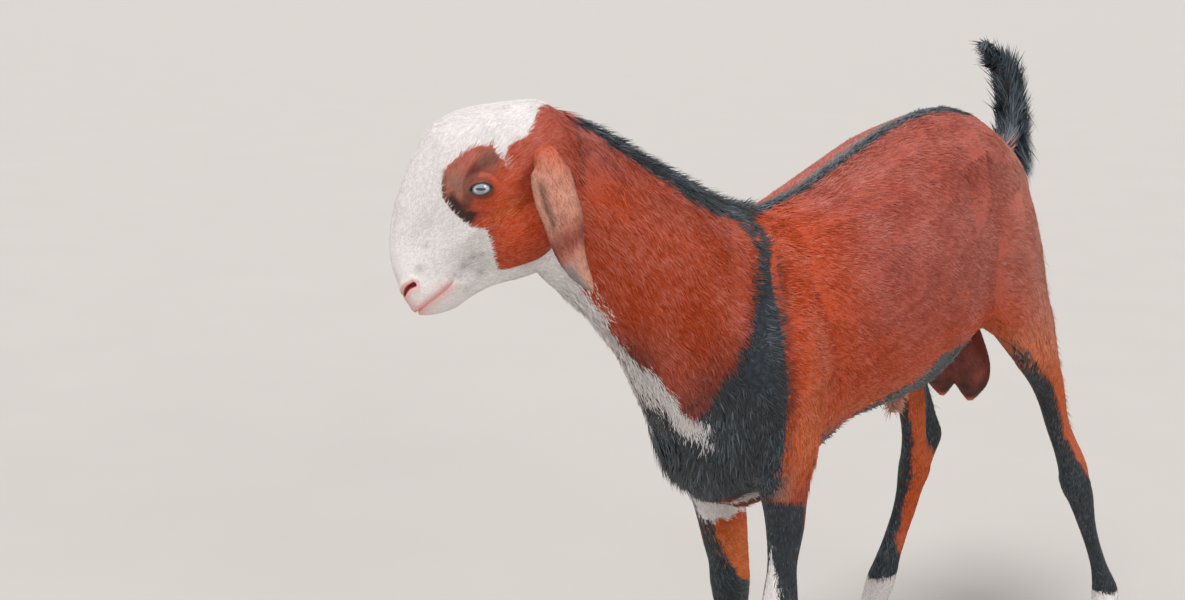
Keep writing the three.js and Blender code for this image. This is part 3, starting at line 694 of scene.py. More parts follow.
def earGrid(side):
    # a thin closed section carried down the ear: the edges curl to the cheek, the front edge turns out
    rows = np.array(earRows, float)
    if side < 0:
        out = np.minimum(np.arange(len(rows)) * 9.0, 36)
        rows[:, 0] += out * 0.5
        rows[:, 2] += out
    rows = smoothRows(rows, ear["steps"])
    path = headPoint(rows[:, 0], rows[:, 1], rows[:, 2] * side)
    along = unit(np.gradient(path, axis=0))
    across = unit(np.cross(along, faceLeft * side))
    facing = unit(np.cross(across, along))
    down = np.linspace(0, 1, len(rows))[:, None]
    wide = rows[:, 3][:, None] - 0.6
    angle = fullTurn(ear["around"])[None]
    reach = np.cos(angle)
    front = reach * side
    fleshy = ear["halfThickness"] + 6.5 * ease(0.2, 0.0, down)
    thick = np.minimum(fleshy, wide * 0.5) * np.sin(angle)
    turnOut = ear["roll"] * ease(0.45, 1.0, front) * ease(0.08, 0.2, down) * ease(0.75, 0.4, down)
    folded = 2.2 * hump(front, 0.35 - 0.5 * down, 0.22) * ease(0.3, 0.5, down) * ease(0.85, 0.65, down)
    away = thick - ear["curl"] * wide * reach ** 2 + turnOut - folded
    grid = path[:, None] + across[:, None] * (wide * reach)[..., None] + facing[:, None] * away[..., None]
    return grid, np.broadcast_to(front, grid.shape[:2]), np.broadcast_to(down, grid.shape[:2])


earGrids = {side: earGrid(side) for side in (1, -1)}


def meshTriangles(mesh):
    return readMesh(mesh.loops, "vertex_index", 1, np.int64).reshape(-1, 3)


def withEars(mesh):
    # the two ears join the skin's mesh; returns where each point lies on an ear
    points, faces = meshPoints(mesh), meshTriangles(mesh)
    count = len(points)
    allPoints, allFaces = [points], [faces]
    front, down = [np.zeros(count)], [np.full(count, -1.0)]
    for side in (1, -1):
        grid, frontGrid, downGrid = earGrids[side]
        shellPoints, shellFaces = closedShell(grid)
        quads = np.array([face for face in shellFaces if len(face) == 4])
        fans = np.array([face for face in shellFaces if len(face) == 3])
        tris = np.concatenate([quads[:, [0, 1, 2]], quads[:, [0, 2, 3]], fans])
        ears = meshFrom("ear", shellPoints, tris.tolist())
        outward(ears)
        allFaces.append(meshTriangles(ears) + count)
        bpy.data.meshes.remove(ears)
        allPoints.append(shellPoints)
        front.append(np.concatenate([frontGrid.ravel(), [0, 0]]))
        down.append(np.concatenate([downGrid.ravel(), [0, 1]]))
        count += len(shellPoints)
    whole = meshFrom("skin", np.concatenate(allPoints), np.concatenate(allFaces).tolist())
    return whole, np.concatenate(front), np.concatenate(down)


skinMesh, earFront, earDown = withEars(skinMesh)
skin.data = skinMesh
skinMesh.polygons.foreach_set("use_smooth", np.ones(len(skinMesh.polygons), bool))
print("skin with ears:", len(skinMesh.polygons), "triangles")

# eyes

eye = {
    "corneaRise": 0.8,
    "corneaAngle": 0.55,        # radians from the eye's axis
    "irisRadius": 7.4,
    "pupilHalf": (4.6, 1.25),   # across and high
    "rimRadius": 0.8,
    "rimSteps": 84,
    "rimAround": 12,
}


def eyeCentre(side):
    return headPoint(0.0, 0.0, head["eyeAside"] * side)


eyeLevel, eyeSteep = head["eyeLine"]
levelBack = -(eyeLevel * faceAlong + eyeSteep * faceUp)
levelLift = -eyeSteep * faceAlong + eyeLevel * faceUp


def eyeball(side):
    # radius eyeRadius + corneaRise * e^-(angle / corneaAngle)^2 about the axis to the side
    angle = np.linspace(0.02, np.pi - 0.02, 46)[:, None, None]
    turn = fullTurn(64)[None, :, None]
    radius = head["eyeRadius"] - 0.4 + eye["corneaRise"] * hump(angle, 0, eye["corneaAngle"])
    ring = np.cos(turn) * levelBack + np.sin(turn) * levelLift
    return closedShell(eyeCentre(side) + radius * (np.cos(angle) * faceLeft * side + np.sin(angle) * ring))


def tubeGrid(path, radius, around, closed=False):
    # circles of the given radius square to the path
    along = unit(np.gradient(path, axis=0))
    if closed:
        along = unit(np.roll(path, -1, 0) - np.roll(path, 1, 0))
    side = unit(np.cross(along, [0.31, 0.52, 0.79]))
    other = np.cross(along, side)
    angle = fullTurn(around)[None, :, None]
    reach = np.broadcast_to(np.asarray(radius, float), len(path))[:, None, None]
    return path[:, None] + reach * (np.cos(angle) * side[:, None] + np.sin(angle) * other[:, None])


def lidRim(side):
    # a thin tube round the eye's opening, thicker above, lying on the ball
    steps, around = eye["rimSteps"], eye["rimAround"]
    t = fullTurn(steps)
    back = eyeOpening["half"] * 1.01 * np.cos(t)
    above, below = openHalf(back)
    lift = np.where(np.sin(t) > 0, above, -below) + eyeOpening["tilt"] * back
    apart = np.hypot(back / eyeOpening["stretch"], lift)
    angle = apart / (head["eyeRadius"] + eyeOpening["lid"])
    out = head["eyeAside"] + (head["eyeRadius"] + 0.75) * np.cos(angle)
    path = head["middle"] + back[:, None] * levelBack + lift[:, None] * levelLift \
        + (out * side)[:, None] * faceLeft
    path = (np.roll(path, 1, 0) + path * 2 + np.roll(path, -1, 0)) / 4
    grid = tubeGrid(path, eye["rimRadius"] * (1 + 0.3 * np.clip(np.sin(t), 0, 1)), around, closed=True)
    ring, k = np.arange(steps)[:, None], np.arange(around)[None]
    after, step = (ring + 1) % steps * around, (k + 1) % around
    faces = np.stack([ring * around + k, ring * around + step, after + step, after + k], -1)
    return grid.reshape(-1, 3), faces.reshape(-1, 4).tolist()


def buildPiece(name, shells):
    mesh = meshFrom(name, *joinShells(shells))
    outward(mesh)
    return addObject(name, mesh)


eyeballs = {1: buildPiece("eyeball_left", [eyeball(1)]), -1: buildPiece("eyeball_right", [eyeball(-1)])}
lidRims = buildPiece("lid_rims", [lidRim(1), lidRim(-1)])

# hooves

hoof = {
    "profile": [[0.0, 33, -19, 9.6], [10, 28.5, -21, 10.4], [22, 21, -22.5, 10.2], [34, 12, -21.5, 9.2],
                [38, 9, -19, 7.5]],     # height, front, back, half-width
    "aside": 12.0,
    "splay": 5.0,
    "rings": 0.16,                      # depth of the growth rings
    "dewProfile": [[4, 5.2, 0], [-4, 5.8, 4], [-10, 4.0, 10], [-13.5, 1.6, 13.5]],  # inward, radius, drop
}


def clawGrid(lastRow, side, letterSide):
    # rings from the sole up: cos^p by sin^p ovals with a narrower toe and flatter inner side
    _, x, y, _, _, turn = lastRow
    z, front, back, wide = smoothRows(hoof["profile"], 7).T
    z = np.maximum(z, 0)
    _, left, _ = sectionAxes(np.array(-turn * side), np.array(0.0))
    heading, across, _ = sectionAxes(np.array(-turn * side - letterSide * hoof["splay"]), np.array(0.0))
    middle = np.array([x, y, 0.0]) + left * hoof["aside"] * letterSide
    angle = fullTurn(44)[None]
    reach = signedPower(np.cos(angle), 0.85)
    out = signedPower(np.sin(angle), 0.85) * (1 - 0.3 * np.clip(np.cos(angle), 0, 1) ** 2)
    inner = out * letterSide < 0
    out = np.where(inner, out * 0.86, out)
    ripple = hoof["rings"] * np.sin(2 * np.pi * z / 3.4 + 0.6 * np.sin(z)) * ease(1, 4, z) * ease(36, 30, z)
    deep = ((front - back) / 2 + ripple)[:, None]
    ahead = ((front + back) / 2)[:, None] + deep * reach
    aside = (wide + ripple)[:, None] * out
    grid = middle + ahead[..., None] * heading + aside[..., None] * across
    grid[..., 2] = z[:, None]
    sole = grid[:1] * 0.985 + 0.015 * grid[:1].mean(1, keepdims=True)
    grid[1, :, 2] = np.maximum(grid[1, :, 2], 0.6)
    return np.concatenate([sole, grid[1:]])


def dewclawGrid(row, side, letterSide):
    # a short tube out of the back of the foot, its circles growing, then closing to a point
    z, x, y, deep, _, turn = row
    heading, left, _ = sectionAxes(np.array(-turn * side), np.array(0.0))
    root = np.array([x, y, z]) + left * hoof["aside"] * 0.75 * letterSide
    inward, size, drop = smoothRows(hoof["dewProfile"], 5).T
    path = root + (inward - deep)[:, None] * heading - drop[:, None] * np.array([0, 0, 1.0])
    return tubeGrid(path, size, 20)


hooves = {}
for legName, rows in limbRows.items():
    shells = []
    for letterSide in (1, -1):
        shells.append(closedShell(clawGrid(rows[-2], sideOf(legName), letterSide)))
        shells.append(closedShell(dewclawGrid(rows[-4], sideOf(legName), letterSide)))
    hooves[legName] = buildPiece("hooves_" + legName, shells)
print("eyes, lids and hooves made")

# places on the body, for the markings and the lie of the coat


def neckPlace(points):
    # y of the nearest point on the neck's middle line in plan, and aside of it; plain y on the body
    x, y = points[:, 0], points[:, 1]
    rows = np.array(neckRows)[:, [0, 1, 3]]
    rows = np.concatenate([rows, [[head["middle"][0], head["middle"][1], head["yaw"]]]])

    def lineAt(place):
        lineX, yaw = (np.interp(-place, -rows[:, 1], rows[:, k]) for k in (0, 2))
        return lineX, np.radians(yaw)

    place = y.copy()
    for _ in range(10):
        lineX, yaw = lineAt(place)
        ahead = -(x - lineX) * np.sin(yaw) - (y - place) * np.cos(yaw)
        place = place - 0.7 * ahead * np.cos(yaw)
    lineX, yaw = lineAt(place)
    return place, (x - lineX) * np.cos(yaw) - (y - place) * np.sin(yaw)


def limbPlace(points, legName):
    # across the limb at the point's height: ahead -1 to 1, outward -1 to 1, and the half-depth
    rows = np.array(limbRows[legName])[::-1]
    side, z = sideOf(legName), points[:, 2]
    x, y, deep, wide, turn = [np.interp(z, rows[:, 0], rows[:, k]) for k in range(1, 6)]
    turn = np.radians(-turn * side)
    dx, dy = points[:, 0] - x, points[:, 1] - y
    ahead = (-dx * np.sin(turn) - dy * np.cos(turn)) / deep
    out = (dx * np.cos(turn) - dy * np.sin(turn)) * side / wide
    return ahead, out, deep


def lineAway(u, v, corners):
    # distance to the nearest of the straight pieces joining the corners
    best = np.full(u.shape, 1e9)
    for (a, b), (c, d) in zip(corners[:-1], corners[1:]):
        t = np.clip(((u - a) * (c - a) + (v - b) * (d - b)) / ((c - a) ** 2 + (d - b) ** 2), 0, 1)
        best = np.minimum(best, np.hypot(u - a - t * (c - a), v - b - t * (d - b)))
    return best


def patchDepth(u, v, outline):
    # distance to the outline, above 0 inside it
    corners = [*outline, outline[0]]
    best, inside = lineAway(u, v, corners), np.zeros(u.shape, bool)
    for (a, b), (c, d) in zip(corners[:-1], corners[1:]):
        if d != b:
            crosses = ((b > v) != (d > v)) & (u < (c - a) * (v - b) / (d - b) + a)
            inside ^= crosses
    return np.where(inside, best, -best)


def tailPart(points):
    # 1 on the tail, 0 on the rump
    y, z = points[:, 1], points[:, 2]
    return np.maximum(ease(670, 696, z) * ease(364, 384, y), ease(772, 786, z) * ease(272, 286, y))


def legNameOf(points):
    # 0 to 3, the place in legNames of the leg on the point's quarter of the body
    return np.where(points[:, 1] < 40, 0, 2) + (points[:, 0] < 0)


legNames = ["fore_left", "fore_right", "hind_left", "hind_right"]
bodyParts = ["trunk", "neck", "head", "ear_left", "ear_right", "tail", "hanging", *legNames]


def partOf(points, down):
    # index into bodyParts
    x, y, z = points.T
    part = np.where(-0.9 * (y + 275) + 0.3 * (z - 640) > 0, 1, 0)
    leg = lowerLimb(points) > 0.5
    hanging = ((np.abs(x) < 52) & (y > 232) & (y < 322) & (z < 492) & ~leg) \
        | ((np.abs(x) < 22) & (y > 98) & (y < 162) & (z < 430))
    part = np.where(hanging, 6, part)
    part = np.where(leg, 7 + legNameOf(points), part)
    part = np.where(tailPart(points) > 0.6, 5, part)
    part = np.where(headPart(points) > 0.5, 2, part)
    return np.where(down >= 0, np.where(headMeasure(points)[2] > 0, 3, 4), part)


# markings

marks = {
    # forward and up on the head: the red cheek and the dark patch round the eye
    "facePatch": [(-400, 8), (-86, 9), (-72, 2), (-60, 1), (-46, 7), (-38, 4), (-30, -5), (-34, 8),
                  (-36, 18), (-28, 26), (-18, 33), (-4, 36), (12, 36), (23, 32), (33, 21), (36, 10),
                  (37, -3), (35, -17), (27, -29), (35, -38), (46, -50), (60, -69), (46, -80), (32, -101),
                  (0, -160), (-400, -160)],
    # place along the neck or body, and height
    "cape": [(-475, 812), (-450, 797), (-430, 788), (-397, 760), (-352, 731), (-322, 717), (-288, 706),
             (-273, 690), (-267, 671), (-271, 648), (-290, 594), (-312, 556), (-328, 532), (-333, 500),
             (-345, 499), (-366, 520), (-390, 552), (-402, 575), (-416, 588), (-560, 588), (-560, 380),
             (-300, 380), (-204, 382), (-204, 402), (-224, 414), (-252, 432), (-257, 470), (-264, 530),
             (-268, 563), (-262, 596), (-254, 622), (-238, 655), (-232, 674), (-240, 700), (-248, 720),
             (-300, 800), (-420, 860), (-475, 860)],
    "throat": [(-560, 712), (-505, 690), (-472, 660), (-448, 633), (-433, 610), (-418, 592), (-404, 575),
               (-388, 560), (-372, 543), (-360, 525), (-346, 508), (-330, 497), (-319, 494), (-322, 484),
               (-310, 470), (-317, 463), (-328, 473), (-343, 491), (-359, 512), (-370, 522), (-384, 538),
               (-398, 552), (-413, 568), (-431, 588), (-462, 606), (-560, 600)],
    "belly": [(-166, 300), (-160, 430), (-132, 449), (-80, 451), (-27, 463), (10, 480), (43, 493),
              (66, 511), (105, 511), (150, 497), (200, 488), (215, 476), (215, 300)],
    # half-width of the line along the back, by y
    "backLine": [(-262, 44), (-240, 34), (-205, 15), (-170, 9), (-60, 8), (80, 9), (160, 11), (215, 15),
                 (262, 14), (318, 8), (345, -6)],
    # where black begins on each leg, from the front backward (ahead 1 to -1), by height
    "foreLeft": [(200, -2), (300, -1.6), (340, -0.75), (380, -0.42), (392, 0.1), (401, 1.6), (500, 2)],
    "foreRight": [(200, -2), (236, -1.6), (246, -0.6), (262, 0.27), (289, 0.6), (316, 0.78), (396, 0.8),
                  (420, 1.4), (500, 2)],
    "hindLeft": [(200, -2), (238, -1.8), (256, -1.0), (272, -0.1), (305, 0.28), (345, 0.6), (426, 0.66),
                 (470, 0.84), (500, 0.98), (545, 1.6)],
    "hindRight": [(105, -2), (124, -1.7), (140, -0.2), (160, 0.3), (205, 0.55), (300, 0.6), (426, 0.66),
                  (470, 0.84), (500, 0.98), (545, 1.6)],
    "brow": [(-28, 9), (-22, 14), (-12, 15), (-3, 15), (7, 12), (13, 5), (22, 1)],
    "pastern": (92, 94, 88, 106),           # height of the white on each foot
    "freckles": [(72, -35, 5), (60, -36, 4), (68, -51, 5), (101, -5, 5), (89, -52, 3.5), (52, -40, 3),
                 (96, -61, 6), (80, 4, 3)],  # forward, up, radius
}


def drift(points, size, seed):
    # smooth waves of about the given size, between -1 and 1
    waves = np.random.default_rng(seed)
    total = np.zeros(len(points))
    for _ in range(7):
        way = unit(waves.normal(size=3))
        step = waves.uniform(0.7, 1.6) * 2 * np.pi / size
        total += np.sin(points @ way * step + waves.uniform(0, 2 * np.pi))
    return np.tanh(total / 3.5)


def atLeast(paint, name, value):
    # raises one marking to the value
    paint[name] = np.maximum(paint[name], value)


def setWhere(paint, here, **values):
    # each named marking takes its value where here is true
    for name, value in values.items():
        paint[name] = np.where(here, value, paint[name])


def headMarks(points, paint):
    # distances inside the outlines and bells round the soft spots, all in the head's middle plane
    forward, high, aside = headMeasure(points)
    spot = np.stack([forward, high], -1)
    wave = 0.9 * drift(points, 16, 3)
    patch = patchDepth(forward, high, marks["facePatch"]) + wave
    under = np.minimum(np.minimum(21 - np.abs(aside), -58 - high), forward + 8) + wave
    ahead = headPart(points, -20, 6) > 0.02
    back, lift, _ = eyeMeasure(points)
    inPatch = ease(-3, 0, patch) * (np.abs(aside) > 20)
    rim = ease(9, 2, patch) * ease(6, 20, forward) * ease(-24, -10, high) * ease(46, 34, high)
    crescent = ease(17, 7, patch + 1.2 * drift(points, 9, 9)) * ease(-20, -9, high) * ease(26, 12, high) \
        * ease(13, 22, forward)
    grey = bell(spot, (-23, 13), (13, 11))
    brown = bell(spot, (14, 20), (15, 16))
    ring = ease(15.5, 11.0, np.hypot(back, 1.3 * lift))
    brow = ease(8.5, 3, lineAway(forward, high, marks["brow"]) + 1.2 * drift(points, 12, 10))
    umber = np.maximum(np.maximum(0.7 * rim, 1.15 * crescent), np.maximum(0.72 * grey, 0.6 * ring))
    umber = np.clip(np.maximum(umber, np.maximum(0.5 * brown, 0.66 * brow)), 0, 0.96) * inPatch
    # rear: dark umber low at the back of the cheek under the ear, painted shade
    rear = 0.55 * bell(spot, (-30, -88), (16, 22))
    low = ease(-70, -95, high) + 0.9 * bell(spot, (-38, -62), (14, 40))
    upper = bell(spot, (-8, 30), (14, 9))
    setWhere(paint, ahead, dark=-20.0, pale=np.maximum(-patch, under),
             umber=np.maximum(umber, rear * inPatch),
             tan=np.clip(0.85 * brown + 0.5 * grey, 0, 0.8) * inPatch,
             tone=0.2 - 0.6 * bell(spot, (2, -30), (30, 17))
             + 0.5 * ease(-10, -70, forward) * ease(-60, 0, high) + 0.5 * low + 0.8 * upper)
    flecks = sum(bell(spot, (f, h), (r, r * 0.8)) for f, h, r in marks["freckles"]) \
        * ease(14, 22, np.abs(aside))
    small = ease(0.95, 1.35, drift(points, 9, 8)) * ease(40, 80, forward) * ease(20, -20, high) * 0.5
    paint["fleck"] = np.clip(flecks * 0.7 + small, 0, 1) * ahead
    away, _, half = nostrilDistance(points)
    gap = high - mouthLine(forward)
    lip = hump(gap, 0, 6.5) * ease(84, 100, forward)
    tip = ease(122, 138, forward) * hump(high, -20, 14)
    groove = hump(gap, 0, 1.3) * ease(mouth["corner"] - 2, mouth["corner"] + 4, forward)
    paint["bare"] = np.clip(0.8 * ease(half + 6, half + 1, away) + 0.8 * lip + 0.45 * tip, 0, 1) * ahead
    paint["raw"] = ease(half + 0.6, half - 1.2, away) * ahead
    atLeast(paint, "raw", 0.14 * groove * ahead)


def bodyMarks(points, normals, paint):
    # millimetres inside the cape, back line, belly, throat, breast and groin, their edges wandering
    # by drift; the reds are soft steps and bells along the body
    x, y, z = points.T
    place, _ = neckPlace(points)
    wave = 2.2 * drift(points, 24, 5)
    cape = patchDepth(place, z, marks["cape"]) + wave
    cape = np.where((np.abs(x) > 62) & (z < 430), np.minimum(cape, -248 - y), cape)
    back = np.array(marks["backLine"], float)
    line = np.interp(y, back[:, 0], back[:, 1], left=-40, right=-20) - np.abs(x) + 0.4 * wave
    line = np.where((z > 640) & (y < 352), line, -40)
    # the black band under the belly is partly the goat's dark belly hair and partly painted shade; it is kept
    # to the skin that faces down
    belly = np.minimum(patchDepth(y, z, marks["belly"]), -60 * normals[:, 2] - 30) + wave
    dark = np.maximum(np.maximum(cape, line), belly)
    throat = patchDepth(place, z, marks["throat"]) + 0.8 * wave
    between = 26 - np.linalg.norm((points - (6, -224, 374)) / (1.7, 1.2, 0.74), axis=1)
    groin = 24 - np.linalg.norm((points - (0, 122, 404)) / (1, 1.1, 1.3), axis=1)
    paint["pale"] = np.maximum(throat, between + wave)
    paint["dark"] = np.where(groin > 0, -groin, dark)
    paint["tan"] = 0.9 * ease(-2, 4, groin)
    paint["fleck"] = 0.55 * ease(-2, 4, groin)
    maroon = ease(-200, -60, y) * ease(470, 620, z) * (0.85 + 0.1 * drift(points, 90, 11))
    neckTop = ease(-250, -300, place) * ease(60, 10, np.abs(cape)) * 0.5
    poll = ease(-400, -460, place) * ease(740, 800, z) * 0.6
    lower = -0.5 * ease(560, 470, z) * ease(150, 260, y) - 0.35 * ease(560, 460, z)
    shoulder = -0.3 * bell(points * (0, 1, 1), (0, -215, 500), (1, 40, 110))
    paint["tone"] = maroon + neckTop + poll + lower + shoulder
    tuft = bell(points, (80, -250, 408), (15, 18, 16))
    # hip and rump: paler tan on the rear of the thigh and on the rump, a painted highlight
    hip = bell(bothSides(points), (95, 300, 560), (60, 60, 110))
    rump = bell(bothSides(points), (60, 330, 690), (90, 90, 80))
    # ridge: grey along the top of the back, a painted sheen
    ridge = ease(60, 20, np.abs(x)) * ease(640, 690, z) * ease(-150, -60, y)
    atLeast(paint, "fleck", 0.5 * tuft)
    atLeast(paint, "fleck", 0.26 * ridge * (dark < 0))
    atLeast(paint, "tan", 0.9 * tuft)
    atLeast(paint, "tan", np.maximum(0.64 * hip, 0.46 * rump))
    shaded = np.maximum(0.6 * bell(np.stack([place, z], -1), (-338, 528), (26, 42)),
                        0.55 * ease(16, 0, -cape) * (z < 660))
    breast = bell(points, (30, -208, 392), (48, 40, 24))
    atLeast(paint, "umber", shaded * (dark < 2) * (y < -180))
    atLeast(paint, "umber", np.clip(1.3 * breast, 0, 0.8))


def legMarks(points, paint):
    # black runs backward from each leg's line: (ahead - line) * half-depth is millimetres inside it;
    # white lies below the pastern's height, and the red above turns to orange
    quarter = legNameOf(points)
    for k, name in enumerate(legNames):
        here = quarter == k
        if not here.any():
            continue
        spot = points[here]
        x, y, z = spot.T
        hind = name.startswith("hind")
        ahead, out, deep = limbPlace(spot, name)
        end, hand = name.split("_")
        heights, begin = np.array(marks[end + hand.title()], float).T
        wave = 2.0 * drift(spot, 22, 31 + k)
        ragged = 5 * drift(spot, 11, 81 + k) * ease(360, 380, z) * (k < 2)
        black = (ahead - np.interp(z, heights, begin)) * deep * 0.8 + wave + ragged
        white = marks["pastern"][k] - z + wave
        inside = ease(0.2, -0.4, out)
        deepRed = -0.45
        if name == "fore_left":
            outer = (out + 0.72) * 18 + 12 * ease(345, 322, z)
            black = np.where(z > 322, np.minimum(black, outer), black)
            width = 10 * ease(346, 276, z) * ease(150, 205, z)
            around = np.hypot((ahead - 0.86) * deep, (out + 0.22) * deep * 0.8)
            white = np.maximum(white, np.where(z < 346, width - around, -40))
        if name == "fore_right":
            white = np.maximum(white, np.minimum(19 - np.abs(z - 357), (0.1 - out) * 24)
                               + 1.5 * wave + 3 * drift(spot, 10, 86))
            inside = inside * ease(330, 312, z)
            deepRed = -1.0
        if name == "hind_left":
            black = np.maximum(black, (-0.35 - out) * 18 - 40 * ease(430, 470, z))
        if name == "hind_right":
            point = 17 - np.hypot(y - 384, (z - 296) * 0.8) + wave
            strap = np.minimum((-0.62 - ahead) * deep, 130 - np.abs(z - 420)) + 0.5 * wave
            black = np.maximum(black, np.maximum(point, strap))
            black = np.maximum(black, np.minimum((out - 0.1) * 20, 300 - z))
            white = white + 0.12 * (y - 300)
        before = paint["dark"][here]
        keep = ease(520, 480, z) * ease(36, 44, np.abs(x)) if hind else ease(410, 394, z)
        above = np.where(z > (420 if hind else 390), before, -40)
        paint["dark"][here] = np.where(keep > 0.02, np.maximum(black * keep - 30 * (1 - keep), above), before)
        paint["pale"][here] = np.where(z < (430 if hind else 380), white, paint["pale"][here])
        orange = ease(560 if hind else 440, 420 if hind else 380, z)
        wanted = (-0.5 + (deepRed + 0.5) * inside) + 0.6 * (name == "fore_left")
        paint["tone"][here] = paint["tone"][here] * (1 - orange) + wanted * orange


def tailMarks(points, paint):
    # black but for a red stretch at the root underneath
    red = ease(716, 704, points[:, 2]) * ease(404, 390, points[:, 1])
    setWhere(paint, tailPart(points) > 0.5, dark=30 - 60 * red)
    paint["tone"] = paint["tone"] - 1.2 * bell(points, (0, 404, 668), (26, 16, 20))


def scrotumMarks(points, paint):
    # umber over red, darker lower down, with a pale tip
    x, y, z = points.T
    near = (np.abs(x) < 52) & (y > 232) & (y < 322) & (z < 500)
    shade = near * ease(500, 480, z) * (0.5 + 0.2 * drift(points, 30, 41) + 0.3 * ease(432, 408, z))
    shade = np.clip(np.maximum(paint["umber"], shade), 0, 0.9) * ease(386, 400, z)
    setWhere(paint, near, umber=shade, tone=0.9 - 2.6 * ease(402, 388, z), tan=0.5 * ease(396, 384, z),
             pale=-30)
    setWhere(paint, near & (z < 492), dark=-30)


def earMarks(points, front, down, inner, paint):
    # by the place across the ear (front, -1 to 1) and down it (0 to 1)
    red = hump(down, 0.61 + 0.04 * front, 0.075)
    light = ease(-0.02, 0.3, down) * (1 - 0.9 * red) * (0.92 + 0.12 * drift(points, 26, 52)) \
        * (1 - 0.35 * ease(0.2, -0.9, front) * ease(0.5, 0.2, down))
    # the groove and the rims darken with umber as painted shade
    groove = hump(front, 0.66 - 0.3 * down, 0.2) * ease(0.2, 0.3, down) * ease(0.62, 0.48, down)
    rim = ease(0.75, 1.0, np.abs(front)) * ease(0.05, 0.2, down)
    edge = ease(-0.25, 0.5, front) * ease(0.68, 0.78, down)
    pinkish = ease(0.1, -0.6, front) * ease(0.72, 0.8, down)
    shade = 0.66 * groove + 0.26 * rim + 0.02 + 0.08 * drift(points, 14, 51) + 0.34 * red + 0.42 * edge \
        + 0.3 * ease(0.25, 0.05, down) * ease(0.2, 0.9, front)
    grey = 0.75 * edge + 0.3 * ease(0.68, 0.74, down) * (1 - pinkish)
    setWhere(paint, down >= 0, dark=-30, pale=-30, tan=np.clip(light, 0, 0.92), umber=np.clip(shade, 0, 0.9),
             fleck=np.clip(grey, 0, 1), bare=0.7 * inner * ease(0.05, 0.2, down), tone=0.1 + 0.8 * red)


def innerOf(points, normals):
    # 1 where the skin faces the head's middle plane, 0 where it faces away
    return ease(0.2, -0.5, (normals @ faceLeft) * np.sign(headMeasure(points)[2]))


paintNames = ["dark", "pale", "tone", "umber", "tan", "fleck", "bare", "raw"]


def paintOf(points, front, down, normals):
    # the markings at each point: dark and pale are millimetres inside the black and the white
    paint = {name: np.zeros(len(points)) for name in paintNames}
    bodyMarks(points, normals, paint)
    legMarks(points, paint)
    tailMarks(points, paint)
    scrotumMarks(points, paint)
    headMarks(points, paint)
    earMarks(points, front, down, innerOf(points, normals), paint)
    return paint


def putAttribute(mesh, name, values):
    # one number at every point
    layer = mesh.attributes.new(name, "FLOAT", "POINT")
    layer.data.foreach_set("value", np.ascontiguousarray(values, np.float32))


skinPoints = meshPoints(skinMesh)
skinNormals = meshNormals(skinMesh)
skinPaint = paintOf(skinPoints, earFront, earDown, skinNormals)
for name, values in skinPaint.items():
    putAttribute(skinMesh, name, values)
print("markings laid on the skin")

# lie of the coat


def blendWays(way, share, other):
    # way where share is 0, other where it is 1
    return way * (1 - share)[:, None] + share[:, None] * other


def lieOf(points, normals, down):
    # the way the hair points: back along the body, down the neck and legs, back from the nose; each
    # stretch is blended into the last, laid flat on the skin and turned by a slow swirl
    x, y, z = points.T
    _, high, aside = headMeasure(points)
    side, zeros = np.sign(x), np.zeros(len(points))
    way = np.stack([0.1 * side, 1 + zeros, -0.35 - 0.25 * ease(-60, 120, y) * ease(640, 720, z)], -1)
    way = blendWays(way, ease(200, 340, y), np.stack([0.2 * side, 0.35 + zeros, -1 + zeros], -1))
    limb = ease(560, 440, z) * ease(20, 60, np.abs(x)) * np.maximum(ease(-90, -150, y), ease(150, 230, y))
    way = blendWays(way, limb, (0, 0.12, -1.0))
    way = blendWays(way, ease(-0.3, -0.8, normals[:, 2]) * (1 - limb), (0, 1.0, -0.1))
    place, _ = neckPlace(points)
    yaw = np.radians(np.interp(-place, [325, 412, 453, 492, 520], [0, 8, 18, 30, 40]))
    way = blendWays(way, ease(-255, -330, place) * ease(480, 600, z),
                    np.stack([0.75 * np.sin(yaw), 0.75 * np.cos(yaw), -0.95 + zeros], -1))
    way = blendWays(way, ease(-250, -310, y) * ease(560, 480, z), (0, 0.1, -1.0))
    back = -faceAlong[None] - faceUp * (0.45 * ease(10, -40, high))[:, None] \
        + faceUp * (0.25 * ease(20, 60, high))[:, None] \
        + faceLeft * (0.3 * np.sign(aside) * ease(30, 60, high))[:, None]
    way = blendWays(way, headPart(points), back)
    path = smoothRows(np.array(tailRows)[:, :2], 8)
    nearest = np.argmin(np.hypot(y[:, None] - path[None, :, 0], z[:, None] - path[None, :, 1]), 1)
    ahead = np.minimum(nearest + 4, len(path) - 1)
    run = path[ahead] - path[np.maximum(ahead - 8, 0)]
    way = blendWays(way, tailPart(points), unit(np.stack([zeros, run[:, 0], run[:, 1]], -1)))
    tip = np.where((aside > 0)[:, None], headPoint(*earRows[-1][:3]), earGrids[-1][0][-1].mean(0))
    way = np.where((down >= 0)[:, None], tip - points + 0.001, way)
    swirl = 0.22 * drift(points, 70, 61) + 0.1 * drift(points, 24, 62)
    way = unit(way - (way * normals).sum(-1, keepdims=True) * normals)
    return unit(way + np.cross(normals, way) * swirl[:, None])


# an unwrap of the skin's own shape: every part is opened along its length and laid in a box

unwrapBoxes = {
    "trunk": (0.01, 0.01, 0.55, 0.60), "neck": (0.57, 0.01, 0.42, 0.26), "head": (0.57, 0.29, 0.42, 0.26),
    "tail": (0.57, 0.57, 0.20, 0.14), "hanging": (0.79, 0.57, 0.20, 0.14),
    "fore_left": (0.01, 0.63, 0.24, 0.36), "fore_right": (0.26, 0.63, 0.24, 0.36),
    "hind_left": (0.51, 0.73, 0.16, 0.26), "hind_right": (0.68, 0.73, 0.16, 0.26),
    "ear_left": (0.85, 0.73, 0.07, 0.26), "ear_right": (0.93, 0.73, 0.06, 0.26),
}


